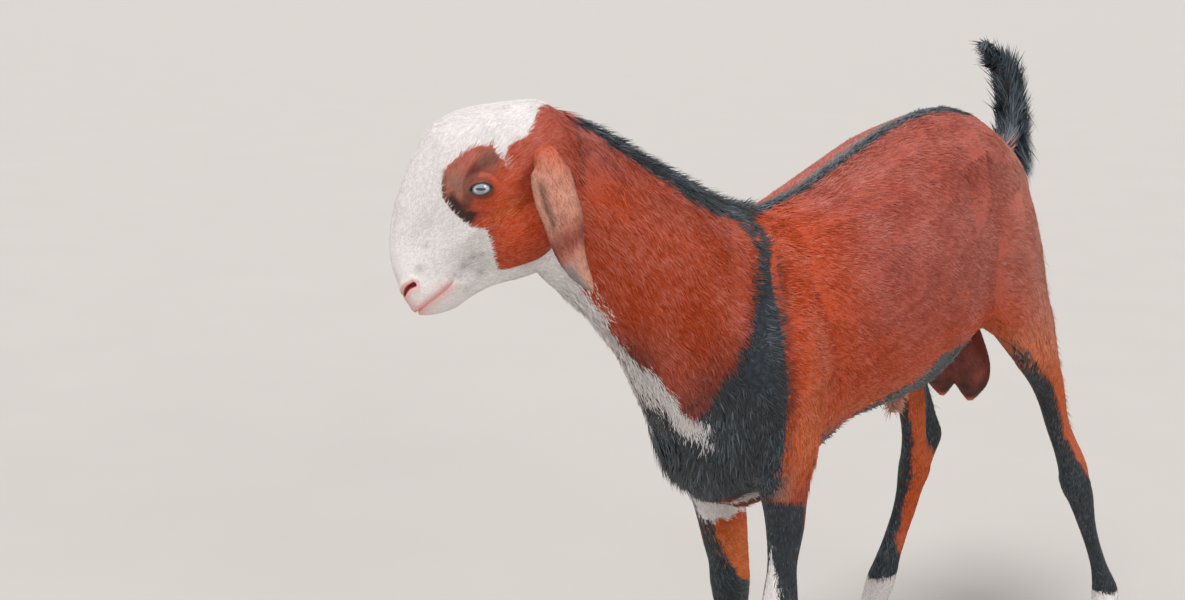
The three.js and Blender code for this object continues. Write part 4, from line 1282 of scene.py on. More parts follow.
def unwrapOf(points, part, front, down, inner):
    # in each part's box: the angle round the part's own middle line across, the share of its length up
    x, y, z = points.T
    forward, high, aside = headMeasure(points)
    place, offside = neckPlace(points)
    trunkTable = np.array(trunkRows, float)
    turn, along = np.zeros(len(points)), np.zeros(len(points))
    for k, name in enumerate(bodyParts):
        here = part == k
        if name == "trunk":
            middle = np.interp(y, trunkTable[:, 0], trunkTable[:, 1])
            a, b, t = x, z - middle, (y + 345) / 760
        elif name == "neck":
            middle = np.interp(-place, [235, 325, 412, 492, 520], [560, 620, 692, 748, 762])
            a, b, t = offside, z - middle - 0.4 * (place + 400), (-place - 230) / 300
        elif name == "head":
            a, b, t = aside, high + 8, (forward + 100) / 250
        elif name == "tail":
            a, b, t = x, y - np.interp(z, [690, 716, 748, 785, 820, 846], [380, 404, 404, 393, 373, 344]), \
                (z - 660) / 220
        elif name == "hanging":
            a, b, t = np.where(y < 200, x, np.abs(x) - 21), np.where(y < 200, y - 126, y - 284), \
                (z - 370) / 140 * 0.45 + 0.5 * (x < 0)
        elif name.startswith("ear"):
            a, b, t = np.cos(np.pi * (0.5 + 0.5 * front)), np.where(inner > 0.5, -1.0, 1.0) * 0.8, down
        else:
            ahead, out, _ = limbPlace(points, name)
            a, b, t = out, ahead, z / 500
        turn = np.where(here, np.arctan2(a, b) / (2 * np.pi) + 0.5, turn)
        along = np.where(here, np.clip(t, 0, 1), along)
    corner = np.array([unwrapBoxes[name] for name in bodyParts])[part]
    return np.stack([corner[:, 0] + turn * corner[:, 2], corner[:, 1] + along * corner[:, 3]], -1)

# tufts

coatTufts = {
    # spacing, length and width on each part
    "sizes": {"trunk": (2.15, 10.5, 1.5), "neck": (2.0, 10.5, 1.4), "head": (1.45, 4.4, 0.8),
              "ear_left": (1.7, 4.0, 0.85), "ear_right": (1.7, 4.0, 0.85), "tail": (2.2, 14.0, 1.5),
              "hanging": (2.2, 4.5, 0.9), "fore_left": (1.75, 6.5, 1.1), "fore_right": (1.75, 6.5, 1.1),
              "hind_left": (1.75, 6.5, 1.1), "hind_right": (1.75, 6.5, 1.1)},
    "lift": 0.13,            # radians off the skin
    "scatter": 0.20,         # radians either way along the skin
    "patch": 0.0015,         # half of each tuft's patch on the unwrap
    "sink": (0.022, 0.08, 0.6),   # root under the skin: share of the length, least and most
}
tuftSizes = np.array([coatTufts["sizes"][name] for name in bodyParts])

skinTriangles = meshTriangles(skinMesh)
cornerA, cornerB, cornerC = (skinPoints[skinTriangles[:, k]] for k in range(3))
skinAreas = 0.5 * np.linalg.norm(np.cross(cornerB - cornerA, cornerC - cornerA), axis=1)
triangleMiddle = (cornerA + cornerB + cornerC) / 3
triangleDown = earDown[skinTriangles].min(1)
trianglePart = partOf(triangleMiddle, triangleDown)
print("skin area by part, square cm:",
      {name: int(skinAreas[trianglePart == k].sum() / 100) for k, name in enumerate(bodyParts)})


def hollowOf(points, normals, lies, triangles):
    # how hollow the skin is along its hair, per mm: over each point's edges, the mean of minus
    # (change of normal) . edge / edge^2, each weighed by the square of the edge's share along the lie
    one = triangles.ravel()
    two = np.roll(triangles, -1, axis=1).ravel()
    start, end = np.concatenate([one, two]), np.concatenate([two, one])
    edge = points[end] - points[start]
    size = (edge * edge).sum(1) + 1e-6
    bend = -((normals[end] - normals[start]) * edge).sum(1) / size
    weight = (edge * lies[start]).sum(1) ** 2 / size + 0.02
    share = np.bincount(start, weight, len(points)) + 1e-9
    hollow = np.bincount(start, weight * bend, len(points)) / share
    near = np.bincount(start, minlength=len(points)) + 1e-9
    for _ in range(3):
        hollow = 0.5 * hollow + 0.5 * np.bincount(start, hollow[end], len(points)) / near
    return hollow


skinLie = lieOf(skinPoints, skinNormals, earDown)
skinHollow = hollowOf(skinPoints, skinNormals, skinLie, skinTriangles)


def rootsOn(density, draws):
    # seeded points spread over the skin's triangles, density in tufts to a square mm
    share = np.cumsum(skinAreas * density)
    count = int(share[-1])
    chosen = np.searchsorted(share, draws.uniform(0, share[-1], count))
    chosen = np.minimum(chosen, len(skinAreas) - 1)
    a, b = draws.uniform(size=(2, count))
    fold = a + b > 1
    a, b = np.where(fold, 1 - a, a), np.where(fold, 1 - b, b)
    weights = np.stack([1 - a - b, a, b], -1)

    def blendOf(values):
        each = weights.reshape(weights.shape + (1,) * (values.ndim - 1))
        return (values[skinTriangles[chosen]] * each).sum(1)

    found = {"points": blendOf(skinPoints), "normals": unit(blendOf(skinNormals)),
             "front": blendOf(earFront), "down": blendOf(earDown), "hollow": blendOf(skinHollow)}
    found["down"] = np.where(triangleDown[chosen] >= 0, found["down"], -1)
    found["part"] = trianglePart[chosen]
    return found


def fastMesh(name, points, triangles):
    # one mesh from whole arrays: points in mm, three corners to a face
    mesh = bpy.data.meshes.new(name)
    mesh.vertices.add(len(points))
    mesh.vertices.foreach_set("co", (points * mm + origin).ravel())
    mesh.loops.add(triangles.size)
    mesh.loops.foreach_set("vertex_index", triangles.ravel().astype(np.int32))
    mesh.polygons.add(len(triangles))
    mesh.polygons.foreach_set("loop_start", np.arange(0, triangles.size, 3, dtype=np.int32))
    mesh.polygons.foreach_set("use_smooth", np.ones(len(triangles), bool))
    mesh.update(calc_edges=True)
    return mesh


def tuftPiece(name, found, segments):
    # every tuft is a three-sided spike along its lie: width falls as (1 - s)^0.8, and the path
    # turns down by droop and towards the body by s^2, closed by a root face and a single tip
    points, normals, length = found["points"], found["normals"], found["length"]
    count = len(points)
    across = unit(np.cross(normals, found["way"]))
    level = np.linspace(0, 1, segments + 1)[:-1]
    direction = unit(found["way"] + normals * np.tan(found["lift"])[:, None])
    sink, least, most = coatTufts["sink"]
    spot = points - normals * np.clip(sink * length, least, most)[:, None]
    rings, ringNormals = [], []
    for s in level:
        wide = found["width"] * (1 - s) ** 0.8 / 2
        if segments > 1:
            wide = wide * (0.75 + 0.9 * s * (1 - s) * 2)
        rings.append(np.stack([spot - across * wide[:, None], spot + across * wide[:, None],
                               spot + normals * (0.55 * wide)[:, None]], 1))
        ringNormals.append(np.stack([unit(normals - 0.45 * across), unit(normals + 0.45 * across),
                                     normals], 1))
        turned = direction + found["droop"][:, None] * s * np.array([0, 0, -1.0]) - normals * (0.10 * s)
        spot = spot + unit(turned) * (length / segments)[:, None]
    rings.append(spot[:, None])
    ringNormals.append(unit(normals + 0.25 * direction)[:, None])
    points = np.concatenate(rings, 1)
    shades = np.concatenate(ringNormals, 1)
    each = points.shape[1]
    faces = [[0, 1, 2]]
    for k in range(segments - 1):
        for i, j in ((0, 2), (2, 1), (1, 0)):
            low, lowNext, high, highNext = 3 * k + i, 3 * k + j, 3 * k + 3 + i, 3 * k + 3 + j
            faces += [[low, lowNext, highNext], [low, highNext, high]]
    last = 3 * (segments - 1)
    faces += [[last, last + 2, each - 1], [last + 2, last + 1, each - 1], [last + 1, last, each - 1]]
    faces = np.array(faces)[:, ::-1]
    triangles = (faces[None] + (np.arange(count) * each)[:, None, None]).reshape(-1, 3)
    mesh = fastMesh(name, points.reshape(-1, 3), triangles)
    for key, values in found["paint"].items():
        putAttribute(mesh, key, np.repeat(values, each))
    putAttribute(mesh, "vary", np.repeat(found["vary"], each))
    putAttribute(mesh, "tip", np.tile(np.concatenate([np.repeat(level, 3), [1.0]]), count))
    putPatches(mesh, found["unwrap"], each, triangles)
    mesh.normals_split_custom_set_from_vertices(unit(shades.reshape(-1, 3)))
    return addObject(name, mesh, smooth=False)


def putPatches(mesh, places, each, triangles):
    # the OFBake map: the tuft's corners lie round its root's place, coatTufts["patch"] from it
    turn = np.arange(each) * 2.4 + 0.3
    around = np.stack([np.cos(turn), np.sin(turn)], -1) * coatTufts["patch"]
    corners = places[:, None] + around[None]
    layer = mesh.uv_layers.new(name="OFBake")
    layer.data.foreach_set("uv", corners.reshape(-1, 2)[triangles.ravel()].ravel().astype(np.float32))


def dressRoots(found, draws, edge=2.2):
    # markings, lie, shade and unwrap of each tuft, taken at its root; the shade is random and partly painted
    # sheen
    points, normals, part, down = found["points"], found["normals"], found["part"], found["down"]
    found["paint"] = paintOf(points, found["front"], down, normals)
    count = len(points)
    small = edge * np.where(part == 2, 0.45, 1.0)
    under = (part == 0) & (points[:, 2] < 530) & (points[:, 1] > -200)
    found["paint"]["dark"] += draws.normal(size=count) * small * np.where(under, 2.8, 1.0)
    found["paint"]["pale"] += draws.normal(size=count) * small
    # vary: random per tuft, plus slow zones and a raise on the tail that are painted sheen on the hair
    found["vary"] = np.clip(0.5 + 0.14 * draws.normal(size=count)
                            + 0.16 * drift(points * (1.4, 0.45, 1.4), 12, 71)
                            + 0.14 * drift(points, 75, 72) + 0.26 * (part == 5), 0, 1)
    found["unwrap"] = unwrapOf(points, part, found["front"], down, innerOf(points, normals))
    found["lies"] = lieOf(points, normals, down)
    return found


def keepOnly(found, kept):
    # the chosen tufts, with everything known of them
    return {key: ({k: v[kept] for k, v in values.items()} if isinstance(values, dict) else values[kept])
            for key, values in found.items()}


def turnedWay(found, turn):
    # the lie turned along the skin: lie + across * tan(turn), with the turn held to 0.7 either way
    across = np.cross(found["normals"], found["lies"])
    return unit(found["lies"] + across * np.tan(np.clip(turn, -0.7, 0.7))[:, None])


def shortCoat():
    # tufts over all the skin but the eyes, lips, nostrils and soles, sized by part and place
    draws = np.random.default_rng(101)
    gap = tuftSizes[trianglePart, 0]
    found = dressRoots(rootsOn(1 / gap ** 2, draws), draws)
    points, part = found["points"], found["part"]
    forward, high, aside = headMeasure(points)
    back, lift, _ = eyeMeasure(points)
    away, _, half = nostrilDistance(points)
    onHead = part == 2
    above, below = openHalf(back * 0.93)
    middleLine = eyeOpening["tilt"] * back
    nearEye = onHead & (np.abs(aside) > 34) & (lift - middleLine < above + 1.6) \
        & (lift - middleLine > -below - 1.6) & (np.abs(back) < eyeOpening["half"] + 1.8)
    nearLip = onHead & (np.abs(high - mouthLine(forward)) < 1.7) & (forward > mouth["corner"] - 3)
    nearSlit = onHead & (away < half + 1.6)
    under = points[:, 2] < 30
    kept = ~(nearEye | nearLip | nearSlit | under)
    found = keepOnly(found, kept)
    points, part = found["points"], found["part"]
    forward, _, _ = headMeasure(points)
    back, lift, _ = eyeMeasure(points)
    count = len(points)
    length = tuftSizes[part, 1] * draws.uniform(0.75, 1.25, count)
    width = tuftSizes[part, 2] * draws.uniform(0.8, 1.2, count)
    onHead = part == 2
    fine = onHead * np.maximum(ease(26, 12, np.hypot(back, lift)), ease(70, 118, forward))
    length *= 1 - 0.5 * fine
    width *= 1 - 0.3 * fine
    cheek = onHead * ease(20, -30, forward)
    length *= 1 + 0.45 * cheek
    foot = ease(130, 60, points[:, 2])
    length *= 1 - 0.25 * foot
    upper = (part == 0) * ease(560, 420, points[:, 2]) * ease(40, 60, np.abs(points[:, 0]))
    length *= 1 - 0.25 * upper
    lift = coatTufts["lift"] * draws.uniform(0.4, 1.7, count) * (1 - 0.4 * (part >= 7) - 0.4 * onHead)
    lift = np.maximum(lift + 1.0 * length * np.clip(found["hollow"], -0.006, 0.05), 0.02)
    found["way"] = turnedWay(found, draws.normal(size=count) * coatTufts["scatter"])
    found["length"], found["width"], found["lift"], found["droop"] = length, width, lift, np.zeros(count)
    return found


shortFound = shortCoat()
print("short tufts:", len(shortFound["points"]))
shortPart, shortY = shortFound["part"], shortFound["points"][:, 1]
shortGroups = {
    "coat_head": np.isin(shortPart, [2, 3, 4]),
    "coat_neck": shortPart == 1,
    "coat_body_fore": (shortPart == 0) & (shortY < -60),
    "coat_body_middle": (shortPart == 0) & (shortY >= -60) & (shortY < 150),
    "coat_body_hind": (shortPart == 0) & (shortY >= 150),
    "coat_legs_fore": np.isin(shortPart, [7, 8]),
    "coat_legs_hind": np.isin(shortPart, [5, 6, 9, 10]),
}
coatPieces = {}
for name, chosen in shortGroups.items():
    coatPieces[name] = tuftPiece(name, keepOnly(shortFound, chosen), 1)
    print(name, len(coatPieces[name].data.polygons), "triangles")

# long hair: tufts to a square cm, length, width, lift, droop, piece
longHair = {
    "mane": (16, 20, 2.0, 0.44, 0.25, "coat_long_fore"),
    "back": (10, 14, 1.8, 0.28, 0.1, "coat_long_hind"),
    "chest": (11, 26, 2.2, 0.3, 0.5, "coat_long_fore"),
    "throat": (10, 14, 1.7, 0.22, 0.3, "coat_long_fore"),
    "belly": (5, 13, 1.8, 0.3, 0.35, "coat_long_hind"),
    "thigh": (12, 17, 1.6, 0.5, 0.2, "coat_long_hind"),
    "elbow": (9, 15, 1.8, 0.3, 0.4, "coat_long_fore"),
    "sheath": (26, 17, 1.6, 0.4, 0.7, "coat_long_hind"),
    "fetlock": (14, 8, 1.3, 0.3, 0.3, "coat_long_hind"),
    "tail": (38, 42, 2.2, 0.42, 0.0, "coat_tail"),
    "fringe": (60, 46, 2.0, 0.5, 0.7, "coat_tail"),
}


def longPlaces(points, normals, part):
    # how much of each kind of long hair grows at each point, 0 to 1
    x, y, z = points.T
    place, offside = neckPlace(points)
    trunk, neck, legs = part == 0, part == 1, part >= 7
    top = ease(22, 8, np.abs(offside)) * (normals[:, 2] > 0.1)
    throat = patchDepth(place, z, marks["throat"])
    back = np.abs(x) < 14
    hindEdge = ease(0.55, 0.85, normals[:, 1])
    limbBack = np.zeros(len(points))
    for k, name in enumerate(legNames):
        ahead, _, _ = limbPlace(points, name)
        limbBack = np.where(legNameOf(points) == k, ease(-0.5, -0.85, ahead), limbBack)
    foot = legs * np.maximum(ease(42, 34, z) * ease(28, 32, z), limbBack * hump(z, 78, 16))
    return {
        "mane": neck * top * ease(-262, -285, place) * ease(-500, -470, place) + trunk * top
        * ease(-190, -250, y) * (z > 660),
        "back": trunk * back * (normals[:, 2] > 0.5) * ease(-250, -210, y) * ease(345, 320, y),
        "chest": (trunk | neck) * ease(-262, -300, y) * ease(575, 520, z) * ease(85, 60, np.abs(x))
        * ease(-4, -12, throat),
        "throat": (trunk | neck) * ease(-6, 4, throat) * ease(700, 660, z) * ease(470, 500, z),
        "belly": trunk * ease(-0.45, -0.8, normals[:, 2]) * ease(-260, -220, y) * ease(230, 200, y)
        * (z < 520) * ease(110, 90, np.abs(x)),
        "thigh": (legs | trunk) * hindEdge * ease(280, 320, y) * ease(640, 600, z) * ease(330, 370, z),
        "elbow": (trunk | legs) * bell(bothSides(points), (84, -180, 432), (26, 20, 26)),
        "sheath": (part == 6) * (y < 200) * 1.0,
        "fetlock": foot,
        "tail": (part == 5) * np.maximum(ease(712, 722, z), (y > 404) * ease(696, 706, z)),
        "fringe": ease(384, 396, y) * ease(662, 676, z) * ease(756, 738, z) * ease(-0.1, 0.3, normals[:, 1]),
    }


def longCoat():
    # each kind is sampled on its own, then the kinds are joined into three pieces
    draws = np.random.default_rng(202)
    pieces = {"coat_long_fore": [], "coat_long_hind": [], "coat_tail": []}
    places = longPlaces(triangleMiddle, unit(np.cross(cornerB - cornerA, cornerC - cornerA)), trianglePart)
    for kind, (perSquare, length, width, lift, droop, pieceName) in longHair.items():
        density = places[kind] * perSquare / 100 * 1
        found = dressRoots(rootsOn(density, draws), draws, edge=1.2)
        count = len(found["points"])
        found["length"] = length * draws.uniform(0.6, 1.15, count)
        found["width"] = width * draws.uniform(0.75, 1.2, count)
        found["lift"] = lift * draws.uniform(0.3, 1.3, count)
        found["lift"] += np.clip(0.5 * found["length"] * found["hollow"], 0, 0.4)
        found["droop"] = droop * draws.uniform(0.5, 1.4, count)
        if kind == "tail":
            z = found["points"][:, 2]
            found["length"] *= 0.82 + 0.23 * ease(730, 790, z) - 0.45 * ease(815, 850, z)
            found["lift"] *= 1 - 0.55 * ease(790, 830, z)
            found["lies"] = unit(found["lies"] + ease(800, 840, z)[:, None] * (0, -0.8, -0.55))
        if kind == "mane":
            found["length"] *= 1 + 0.35 * ease(-320, -260, found["points"][:, 1])
        if kind == "fringe":
            low = ease(700, 684, found["points"][:, 2])
            found["paint"]["dark"] = np.where(draws.uniform(size=count) < 1 - 0.5 * low, 20.0, -20.0)
            found["lies"] = unit(found["lies"] * 0.1 + (0, 0.25, -1.0))
        if kind == "chest":
            high = found["points"][:, 2]
            found["length"] *= 0.55 + 0.6 * ease(500, 440, high) - 0.55 * ease(425, 400, high)
        found["way"] = turnedWay(found, draws.normal(size=count) * 0.24)
        pieces[pieceName].append(found)
        print(kind, count, end="; ")
    print()
    for name, parts in pieces.items():
        whole = {}
        for key, sample in parts[0].items():
            if isinstance(sample, dict):
                whole[key] = {k: np.concatenate([part[key][k] for part in parts]) for k in sample}
            else:
                whole[key] = np.concatenate([part[key] for part in parts])
        coatPieces[name] = tuftPiece(name, whole, 3)
        print(name, len(coatPieces[name].data.polygons), "triangles")


longCoat()

# finishes


def linear(red, green, blue):
    # display colour 0 to 255 to the shader's linear colour
    value = np.array([red, green, blue]) / 255
    value = np.where(value <= 0.04045, value / 12.92, ((value + 0.055) / 1.055) ** 2.4)
    return (*value.tolist(), 1.0)


coatColours = {
    "orange": linear(216, 108, 48),
    "red": linear(194, 76, 40),
    "maroon": linear(176, 88, 74),
    "umber": linear(54, 42, 40),
    "tan": linear(212, 153, 131),
    # grey of the freckles, the groin and the ears, and also a painted sheen along the back
    "fleck": linear(158, 150, 150),
    "black": linear(33, 39, 45),
    "white": linear(232, 226, 225),
    "bare": linear(232, 176, 170),
    "raw": linear(150, 34, 36),
}


class Graph:
    # short names for adding nodes to a tree and joining them
    def __init__(self, tree):
        self.tree = tree

    def add(self, kind, settings=None, **inputs):
        node = self.tree.nodes.new("ShaderNode" + kind)
        for key, value in (settings or {}).items():
            setattr(node, key, value)
        for key, value in inputs.items():
            self.put(node, key.replace("_", " "), value)
        return node

    def put(self, node, name, value):
        socket = node.inputs[int(name[1:])] if name[0] == "i" and name[1:].isdigit() else node.inputs[name]
        if isinstance(value, bpy.types.NodeSocket):
            self.tree.links.new(value, socket)
        else:
            socket.default_value = value

    def math(self, operation, a, b=0.0, c=0.0):
        return self.add("Math", {"operation": operation}, i0=a, i1=b, i2=c).outputs[0]

    def step(self, value, low, high, lowTo=0.0, highTo=1.0):
        node = self.add("MapRange", {"interpolation_type": "SMOOTHSTEP"}, Value=value, From_Min=low,
                        From_Max=high, To_Min=lowTo, To_Max=highTo)
        return node.outputs["Result"]

    def mix(self, factor, a, b):
        return self.add("Mix", {"data_type": "RGBA"}, i0=factor, i6=a, i7=b).outputs[2]

    def attribute(self, name):
        return self.add("Attribute", {"attribute_name": name}).outputs["Fac"]

    def noise(self, vector, scale, detail=3.0, roughness=0.55):
        node = self.add("TexNoise", Vector=vector, Scale=scale, Detail=detail, Roughness=roughness)
        return node.outputs["Fac"]

    def place(self):
        return self.add("TexCoord").outputs["Object"]

    def bump(self, shader, height, strength, distance):
        node = self.add("Bump", Strength=strength, Distance=distance, Height=height)
        self.put(shader, "Normal", node.outputs["Normal"])


def newGroup(name, takes, gives):
    tree = bpy.data.node_groups.new(name, "ShaderNodeTree")
    for label, kind, value in takes:
        socket = tree.interface.new_socket(name=label, in_out="INPUT", socket_type=kind)
        socket.default_value = value
    for label, kind in gives:
        tree.interface.new_socket(name=label, in_out="OUTPUT", socket_type=kind)
    graph = Graph(tree)
    return graph, tree.nodes.new("NodeGroupInput").outputs, tree.nodes.new("NodeGroupOutput")


def coatGroup():
    # the goat's colours from its markings, with a wandering edge and hair-by-hair variation; high Vary is
    # partly painted sheen, lighter and paler, and blue-grey on black hair
    graph, takes, gives = newGroup(
        "coatColour", [("Edge", "NodeSocketFloat", 0.0), ("Vary", "NodeSocketFloat", 0.5)],
        [("Color", "NodeSocketColor"), ("Gloss", "NodeSocketFloat")])
    place = graph.place()
    edgeNoise = graph.math("SUBTRACT", graph.noise(place, 260.0, 4.0, 0.65), 0.5)
    edge = graph.math("MULTIPLY", edgeNoise, takes["Edge"])
    tone = graph.attribute("tone")
    color = graph.mix(graph.step(tone, -1.0, 0.0), coatColours["orange"], coatColours["red"])
    color = graph.mix(graph.step(tone, 0.0, 1.0), color, coatColours["maroon"])
    color = graph.mix(graph.attribute("tan"), color, coatColours["tan"])
    vary = takes["Vary"]
    # Vary lightens and pales the colour: random from tuft to tuft, and partly a painted sheen
    lighter = graph.step(vary, 0.0, 1.0, 0.66, 1.3)
    tint = graph.add("HueSaturation", Saturation=graph.step(vary, 0.2, 1.0, 1.06, 0.84), Value=lighter,
                     Color=color).outputs["Color"]
    tint = graph.mix(graph.attribute("umber"), tint, coatColours["umber"])
    black = graph.step(graph.math("ADD", graph.attribute("dark"), edge), -1.3, 1.3)
    # where Vary is high the black hair takes a painted blue-grey sheen
    blackAndSheen = graph.mix(graph.step(vary, 0.48, 0.95), coatColours["black"], linear(92, 108, 120))
    tint = graph.mix(black, tint, blackAndSheen)
    white = graph.step(graph.math("ADD", graph.attribute("pale"), edge), -1.0, 1.0)
    whiteTint = graph.mix(graph.step(vary, 0.0, 0.5), linear(224, 217, 214), coatColours["white"])
    tint = graph.mix(white, tint, whiteTint)
    tint = graph.mix(graph.math("MULTIPLY", graph.attribute("fleck"), 0.8), tint, coatColours["fleck"])
    tint = graph.mix(graph.attribute("bare"), tint, coatColours["bare"])
    tint = graph.mix(graph.attribute("raw"), tint, coatColours["raw"])
    graph.put(gives, "Color", tint)
    graph.put(gives, "Gloss", graph.math("MULTIPLY", black, graph.math("SUBTRACT", 1.0, white)))
    return graph.tree


coatTree = coatGroup()


def newMaterial(name, **values):
    material = bpy.data.materials.new(name)
    material.use_nodes = True
    shader = material.node_tree.nodes["Principled BSDF"]
    for key, value in values.items():
        shader.inputs[key.replace("_", " ")].default_value = value
    return material, Graph(material.node_tree), shader


def hairMaterial():
    # each tuft: its root's marking, darker at the root and paler at the tip
    material, graph, shader = newMaterial("coat_hair", Specular_IOR_Level=0.2, Sheen_Weight=0.02,
                                          Sheen_Roughness=0.4)
    group = graph.add("Group", {"node_tree": coatTree}, Edge=0.0, Vary=graph.attribute("vary"))
    shade = graph.step(graph.attribute("tip"), 0.0, 1.0, 0.72, 1.12)
    color = graph.add("HueSaturation", Value=shade, Color=group.outputs["Color"]).outputs["Color"]
    graph.put(shader, "Base Color", color)
    graph.put(shader, "Roughness", graph.step(group.outputs["Gloss"], 0.0, 1.0, 0.56, 0.36))
    graph.put(shader, "Specular IOR Level", graph.step(group.outputs["Gloss"], 0.0, 1.0, 0.18, 0.5))
    return material


def skinMaterial():
    # the same markings, with fine streaks of hair along its lie and pores on bare skin
    material, graph, shader = newMaterial("coat_skin", Specular_IOR_Level=0.2)
    place = graph.place()
    way = graph.add("Attribute", {"attribute_name": "across"}).outputs["Vector"]
    streak = graph.add("TexGabor", {"gabor_type": "3D"}, Vector=place, Scale=150.0, Frequency=5.5,
                       Anisotropy=1.0, i5=way).outputs["Value"]
    streak = graph.step(streak, 0.25, 0.75)
    group = graph.add("Group", {"node_tree": coatTree}, Edge=5.0,
                      Vary=graph.math("MULTIPLY_ADD", streak, 0.5, 0.2))
    graph.put(shader, "Base Color", group.outputs["Color"])
    bare = graph.attribute("bare")
    graph.put(shader, "Roughness", graph.step(bare, 0.0, 1.0, 0.6, 0.42))
    pores = graph.noise(place, 900.0, 4.0)
    height = graph.add("Mix", {"data_type": "FLOAT"}, i0=graph.step(bare, 0.1, 0.7), i2=streak,
                       i3=pores).outputs[0]
    graph.bump(shader, height, 0.35, 0.0006)
    return material


def eyeMaterial():
    # pale iris of fine rays with a grey ring, level slit of a pupil, brown white-of-the-eye
    material, graph, shader = newMaterial("eye_wet", Roughness=0.08, Coat_Weight=1.0, Coat_Roughness=0.02,
                                          Specular_IOR_Level=0.5)
    across, level = graph.attribute("eyeAcross"), graph.attribute("eyeLevel")
    radius = graph.math("SQRT", graph.math("ADD", graph.math("MULTIPLY", across, across),
                                           graph.math("MULTIPLY", level, level)))
    angle = graph.math("ARCTAN2", level, across)
    ray = graph.add("CombineXYZ", X=graph.math("COSINE", angle), Y=graph.math("SINE", angle),
                    Z=graph.math("MULTIPLY", radius, 0.05)).outputs[0]
    fibres = graph.noise(ray, 16.0, 4.0, 0.7)
    iris = graph.mix(graph.step(fibres, 0.3, 0.7), linear(150, 158, 172), linear(232, 232, 236))
    inner = graph.step(radius, 3.0, 5.6)
    iris = graph.mix(inner, linear(142, 148, 164), iris)
    ring = graph.step(radius, 7.6, 8.8)
    color = graph.mix(ring, iris, linear(104, 102, 112))
    color = graph.mix(graph.step(radius, 8.9, 10.0), color, linear(128, 100, 90))
    wide = graph.math("POWER", graph.math("ABSOLUTE", graph.math("DIVIDE", across, eye["pupilHalf"][0])), 3.0)
    tall = graph.math("POWER", graph.math("ABSOLUTE", graph.math("DIVIDE", level, eye["pupilHalf"][1])), 2.2)
    pupil = graph.step(graph.math("ADD", wide, tall), 1.7, 0.5)
    color = graph.mix(pupil, color, linear(40, 45, 60))
    graph.put(shader, "Base Color", color)
    graph.bump(shader, fibres, 0.1, 0.0002)
    return material


def lidMaterial():
    # dark wet skin, grained
    material, graph, shader = newMaterial("lid_rim", Specular_IOR_Level=0.5)
    place = graph.place()
    grain = graph.noise(place, 700.0, 4.0)
    graph.put(shader, "Base Color", graph.mix(grain, linear(28, 22, 22), linear(70, 52, 48)))
    graph.put(shader, "Roughness", graph.step(grain, 0.3, 0.7, 0.28, 0.5))
    graph.bump(shader, grain, 0.4, 0.0003)
    return material


def hornMaterial():
    # grey-brown horn: level growth lines, a paler edge at the coronet, dust and scuffs near the ground
    material, graph, shader = newMaterial("hoof_horn", Specular_IOR_Level=0.4)
    place = graph.place()
    height = graph.add("SeparateXYZ", Vector=place).outputs["Z"]
    wander = graph.noise(place, 60.0, 3.0)
    phase = graph.math("MULTIPLY_ADD", height, 1800.0, graph.math("MULTIPLY", wander, 6.0))
    lines = graph.math("SINE", phase)
    grain = graph.noise(graph.add("Mapping", Vector=place, Scale=(1.0, 1.0, 0.12)).outputs[0], 900.0, 4.0)
    color = graph.mix(graph.step(lines, -1.0, 1.0), linear(88, 76, 68), linear(122, 106, 92))
    color = graph.mix(graph.math("MULTIPLY", grain, 0.6), color, linear(60, 52, 48))
    color = graph.mix(graph.step(height, 0.026, 0.036), color, linear(150, 132, 112))
    nearGround = graph.step(height, 0.014, 0.0)
    dust = graph.math("MULTIPLY", nearGround, graph.step(graph.noise(place, 220.0), 0.35, 0.65))
    color = graph.mix(graph.math("MULTIPLY", dust, 0.7), color, linear(176, 158, 138))
    graph.put(shader, "Base Color", color)
    graph.put(shader, "Roughness", graph.step(grain, 0.3, 0.7, 0.4, 0.68))
    graph.bump(shader, graph.math("MULTIPLY_ADD", grain, 0.6, lines), 0.3, 0.0004)
    return material


def floorMaterial():
    # pale and nearly even
    material, graph, shader = newMaterial("floor_pale", Specular_IOR_Level=0.2)
    place = graph.place()
    cloud = graph.noise(place, 3.0, 5.0)
    graph.put(shader, "Base Color", graph.mix(cloud, linear(184, 180, 176), linear(192, 188, 184)))
    graph.put(shader, "Roughness", graph.step(cloud, 0.2, 0.8, 0.7, 0.85))
    return material


def putVectors(mesh, name, values):
    layer = mesh.attributes.new(name, "FLOAT_VECTOR", "POINT")
    layer.data.foreach_set("vector", np.ascontiguousarray(values, np.float32).ravel())


putVectors(skinMesh, "across", np.cross(skinNormals, skinLie))
for side, piece in eyeballs.items():
    away = meshPoints(piece.data) - eyeCentre(side)
    putAttribute(piece.data, "eyeAcross", away @ levelBack)
    putAttribute(piece.data, "eyeLevel", away @ levelLift)
    piece.data.materials.append(eyeMaterial() if side == 1 else eyeballs[1].data.materials[0])
skinMesh.materials.append(skinMaterial())
hair = hairMaterial()
for piece in coatPieces.values():
    piece.data.materials.append(hair)
lidRims.data.materials.append(lidMaterial())
horn = hornMaterial()
for piece in hooves.values():
    piece.data.materials.append(horn)
print("finishes made")


# floor, light and camera

ground = {"half": 45.0, "height": -0.0005}      # metres
floorCorners = [(x * ground["half"], y * ground["half"], ground["height"])
                for x, y in ((-1, -1), (1, -1), (1, 1), (-1, 1))]
floorMesh = meshFrom("floor", np.array(floorCorners), [[0, 1, 2, 3]], place=False)
floor = addObject("floor", floorMesh, smooth=False)
floor.data.materials.append(floorMaterial())

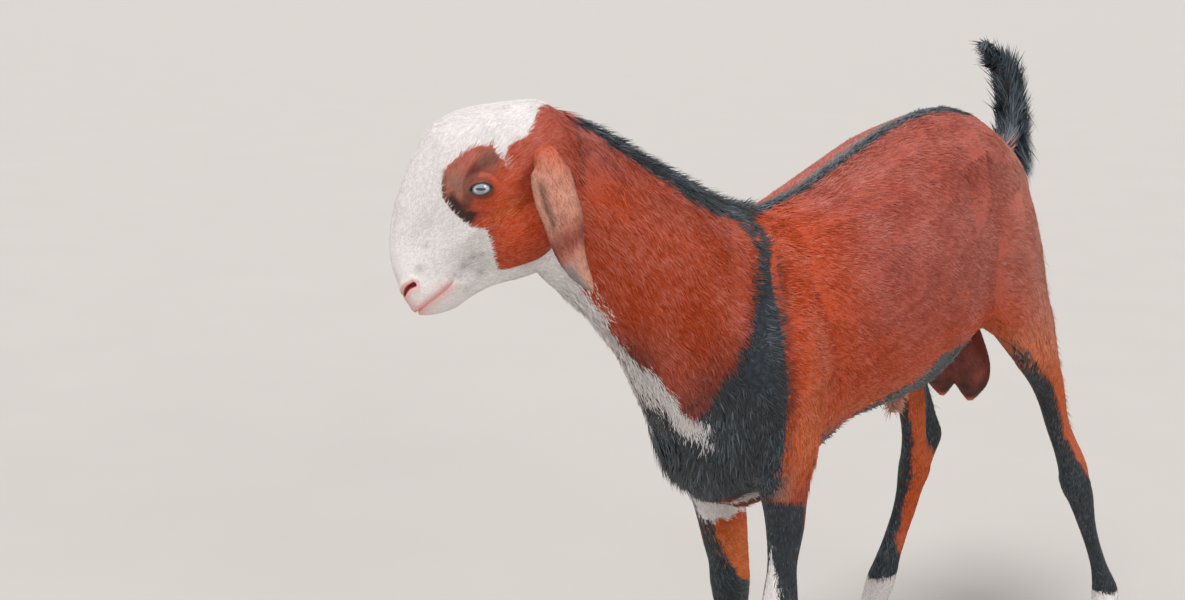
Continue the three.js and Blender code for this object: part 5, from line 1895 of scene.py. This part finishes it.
view = {
    "place": (1.0423, -1.6471, 0.985),
    "azimuth": 40.5,
    "down": 12.0,
    "lens": 51.65,
}
camera = bpy.data.objects.new("camera", bpy.data.cameras.new("camera"))
camera.data.lens = view["lens"]
camera.data.sensor_width = 36
camera.location = view["place"]
camera.rotation_euler = np.radians([90 - view["down"], 0, view["azimuth"]])
bpy.context.scene.collection.objects.link(camera)
bpy.context.scene.camera = camera

# name, place in metres, angle across the light, power
lamps = [("key", (0.5, -1.8, 3.4), 0.35, 1.95), ("fill", (3.0, -0.6, 1.2), 0.3, 0.5),
         ("back", (-2.2, 2.4, 2.8), 0.7, 0.5)]
for name, place, spread, power in lamps:
    light = bpy.data.lights.new(name, "SUN")
    light.angle = spread
    light.energy = power
    lamp = bpy.data.objects.new(name, light)
    lamp.location = place
    toward = -np.array(place) / np.linalg.norm(place)
    lamp.rotation_euler = (np.arccos(-toward[2]), 0, np.arctan2(toward[1], toward[0]) - np.pi / 2)
    bpy.context.scene.collection.objects.link(lamp)
world = bpy.data.worlds.new("studio")
world.use_nodes = True
world.node_tree.nodes["Background"].inputs["Color"].default_value = (1.0, 0.985, 0.965, 1)
world.node_tree.nodes["Background"].inputs["Strength"].default_value = 0.68
bpy.context.scene.world = world
bpy.context.scene.view_settings.view_transform = "Standard"

# riding, replacing, and a table of slots for the coat pieces

coatSlots = dict.fromkeys(coatPieces, "coat_red")
coatSlots.update(coat_head="coat_white", coat_legs_fore="coat_black", coat_legs_hind="coat_black",
                 coat_long_fore="coat_black", coat_tail="coat_black")
fleshNodes = ["head", "lower_jaw", "neck", "trunk", "tail", "scrotum", "sheath", "ear_left", "ear_right"]
for legName in limbRows:
    upper, middle = ("shoulder_", "forearm_") if legName.startswith("fore") else ("thigh_", "gaskin_")
    fleshNodes += [upper + legName, middle + legName, "shank_" + legName, "foot_" + legName]
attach(skin, "root")
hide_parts(*fleshNodes)
for side, name in ((1, "eye_left"), (-1, "eye_right")):
    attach(eyeballs[side], "root")
    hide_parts(name)
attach(lidRims, "root")
for name, piece in coatPieces.items():
    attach(piece, "root")
for legName, piece in hooves.items():
    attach(piece, "root")
    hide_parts(*[kind + legName + letter for kind in ("claw_", "dewclaw_")
                         for letter in ("_a", "_b")])
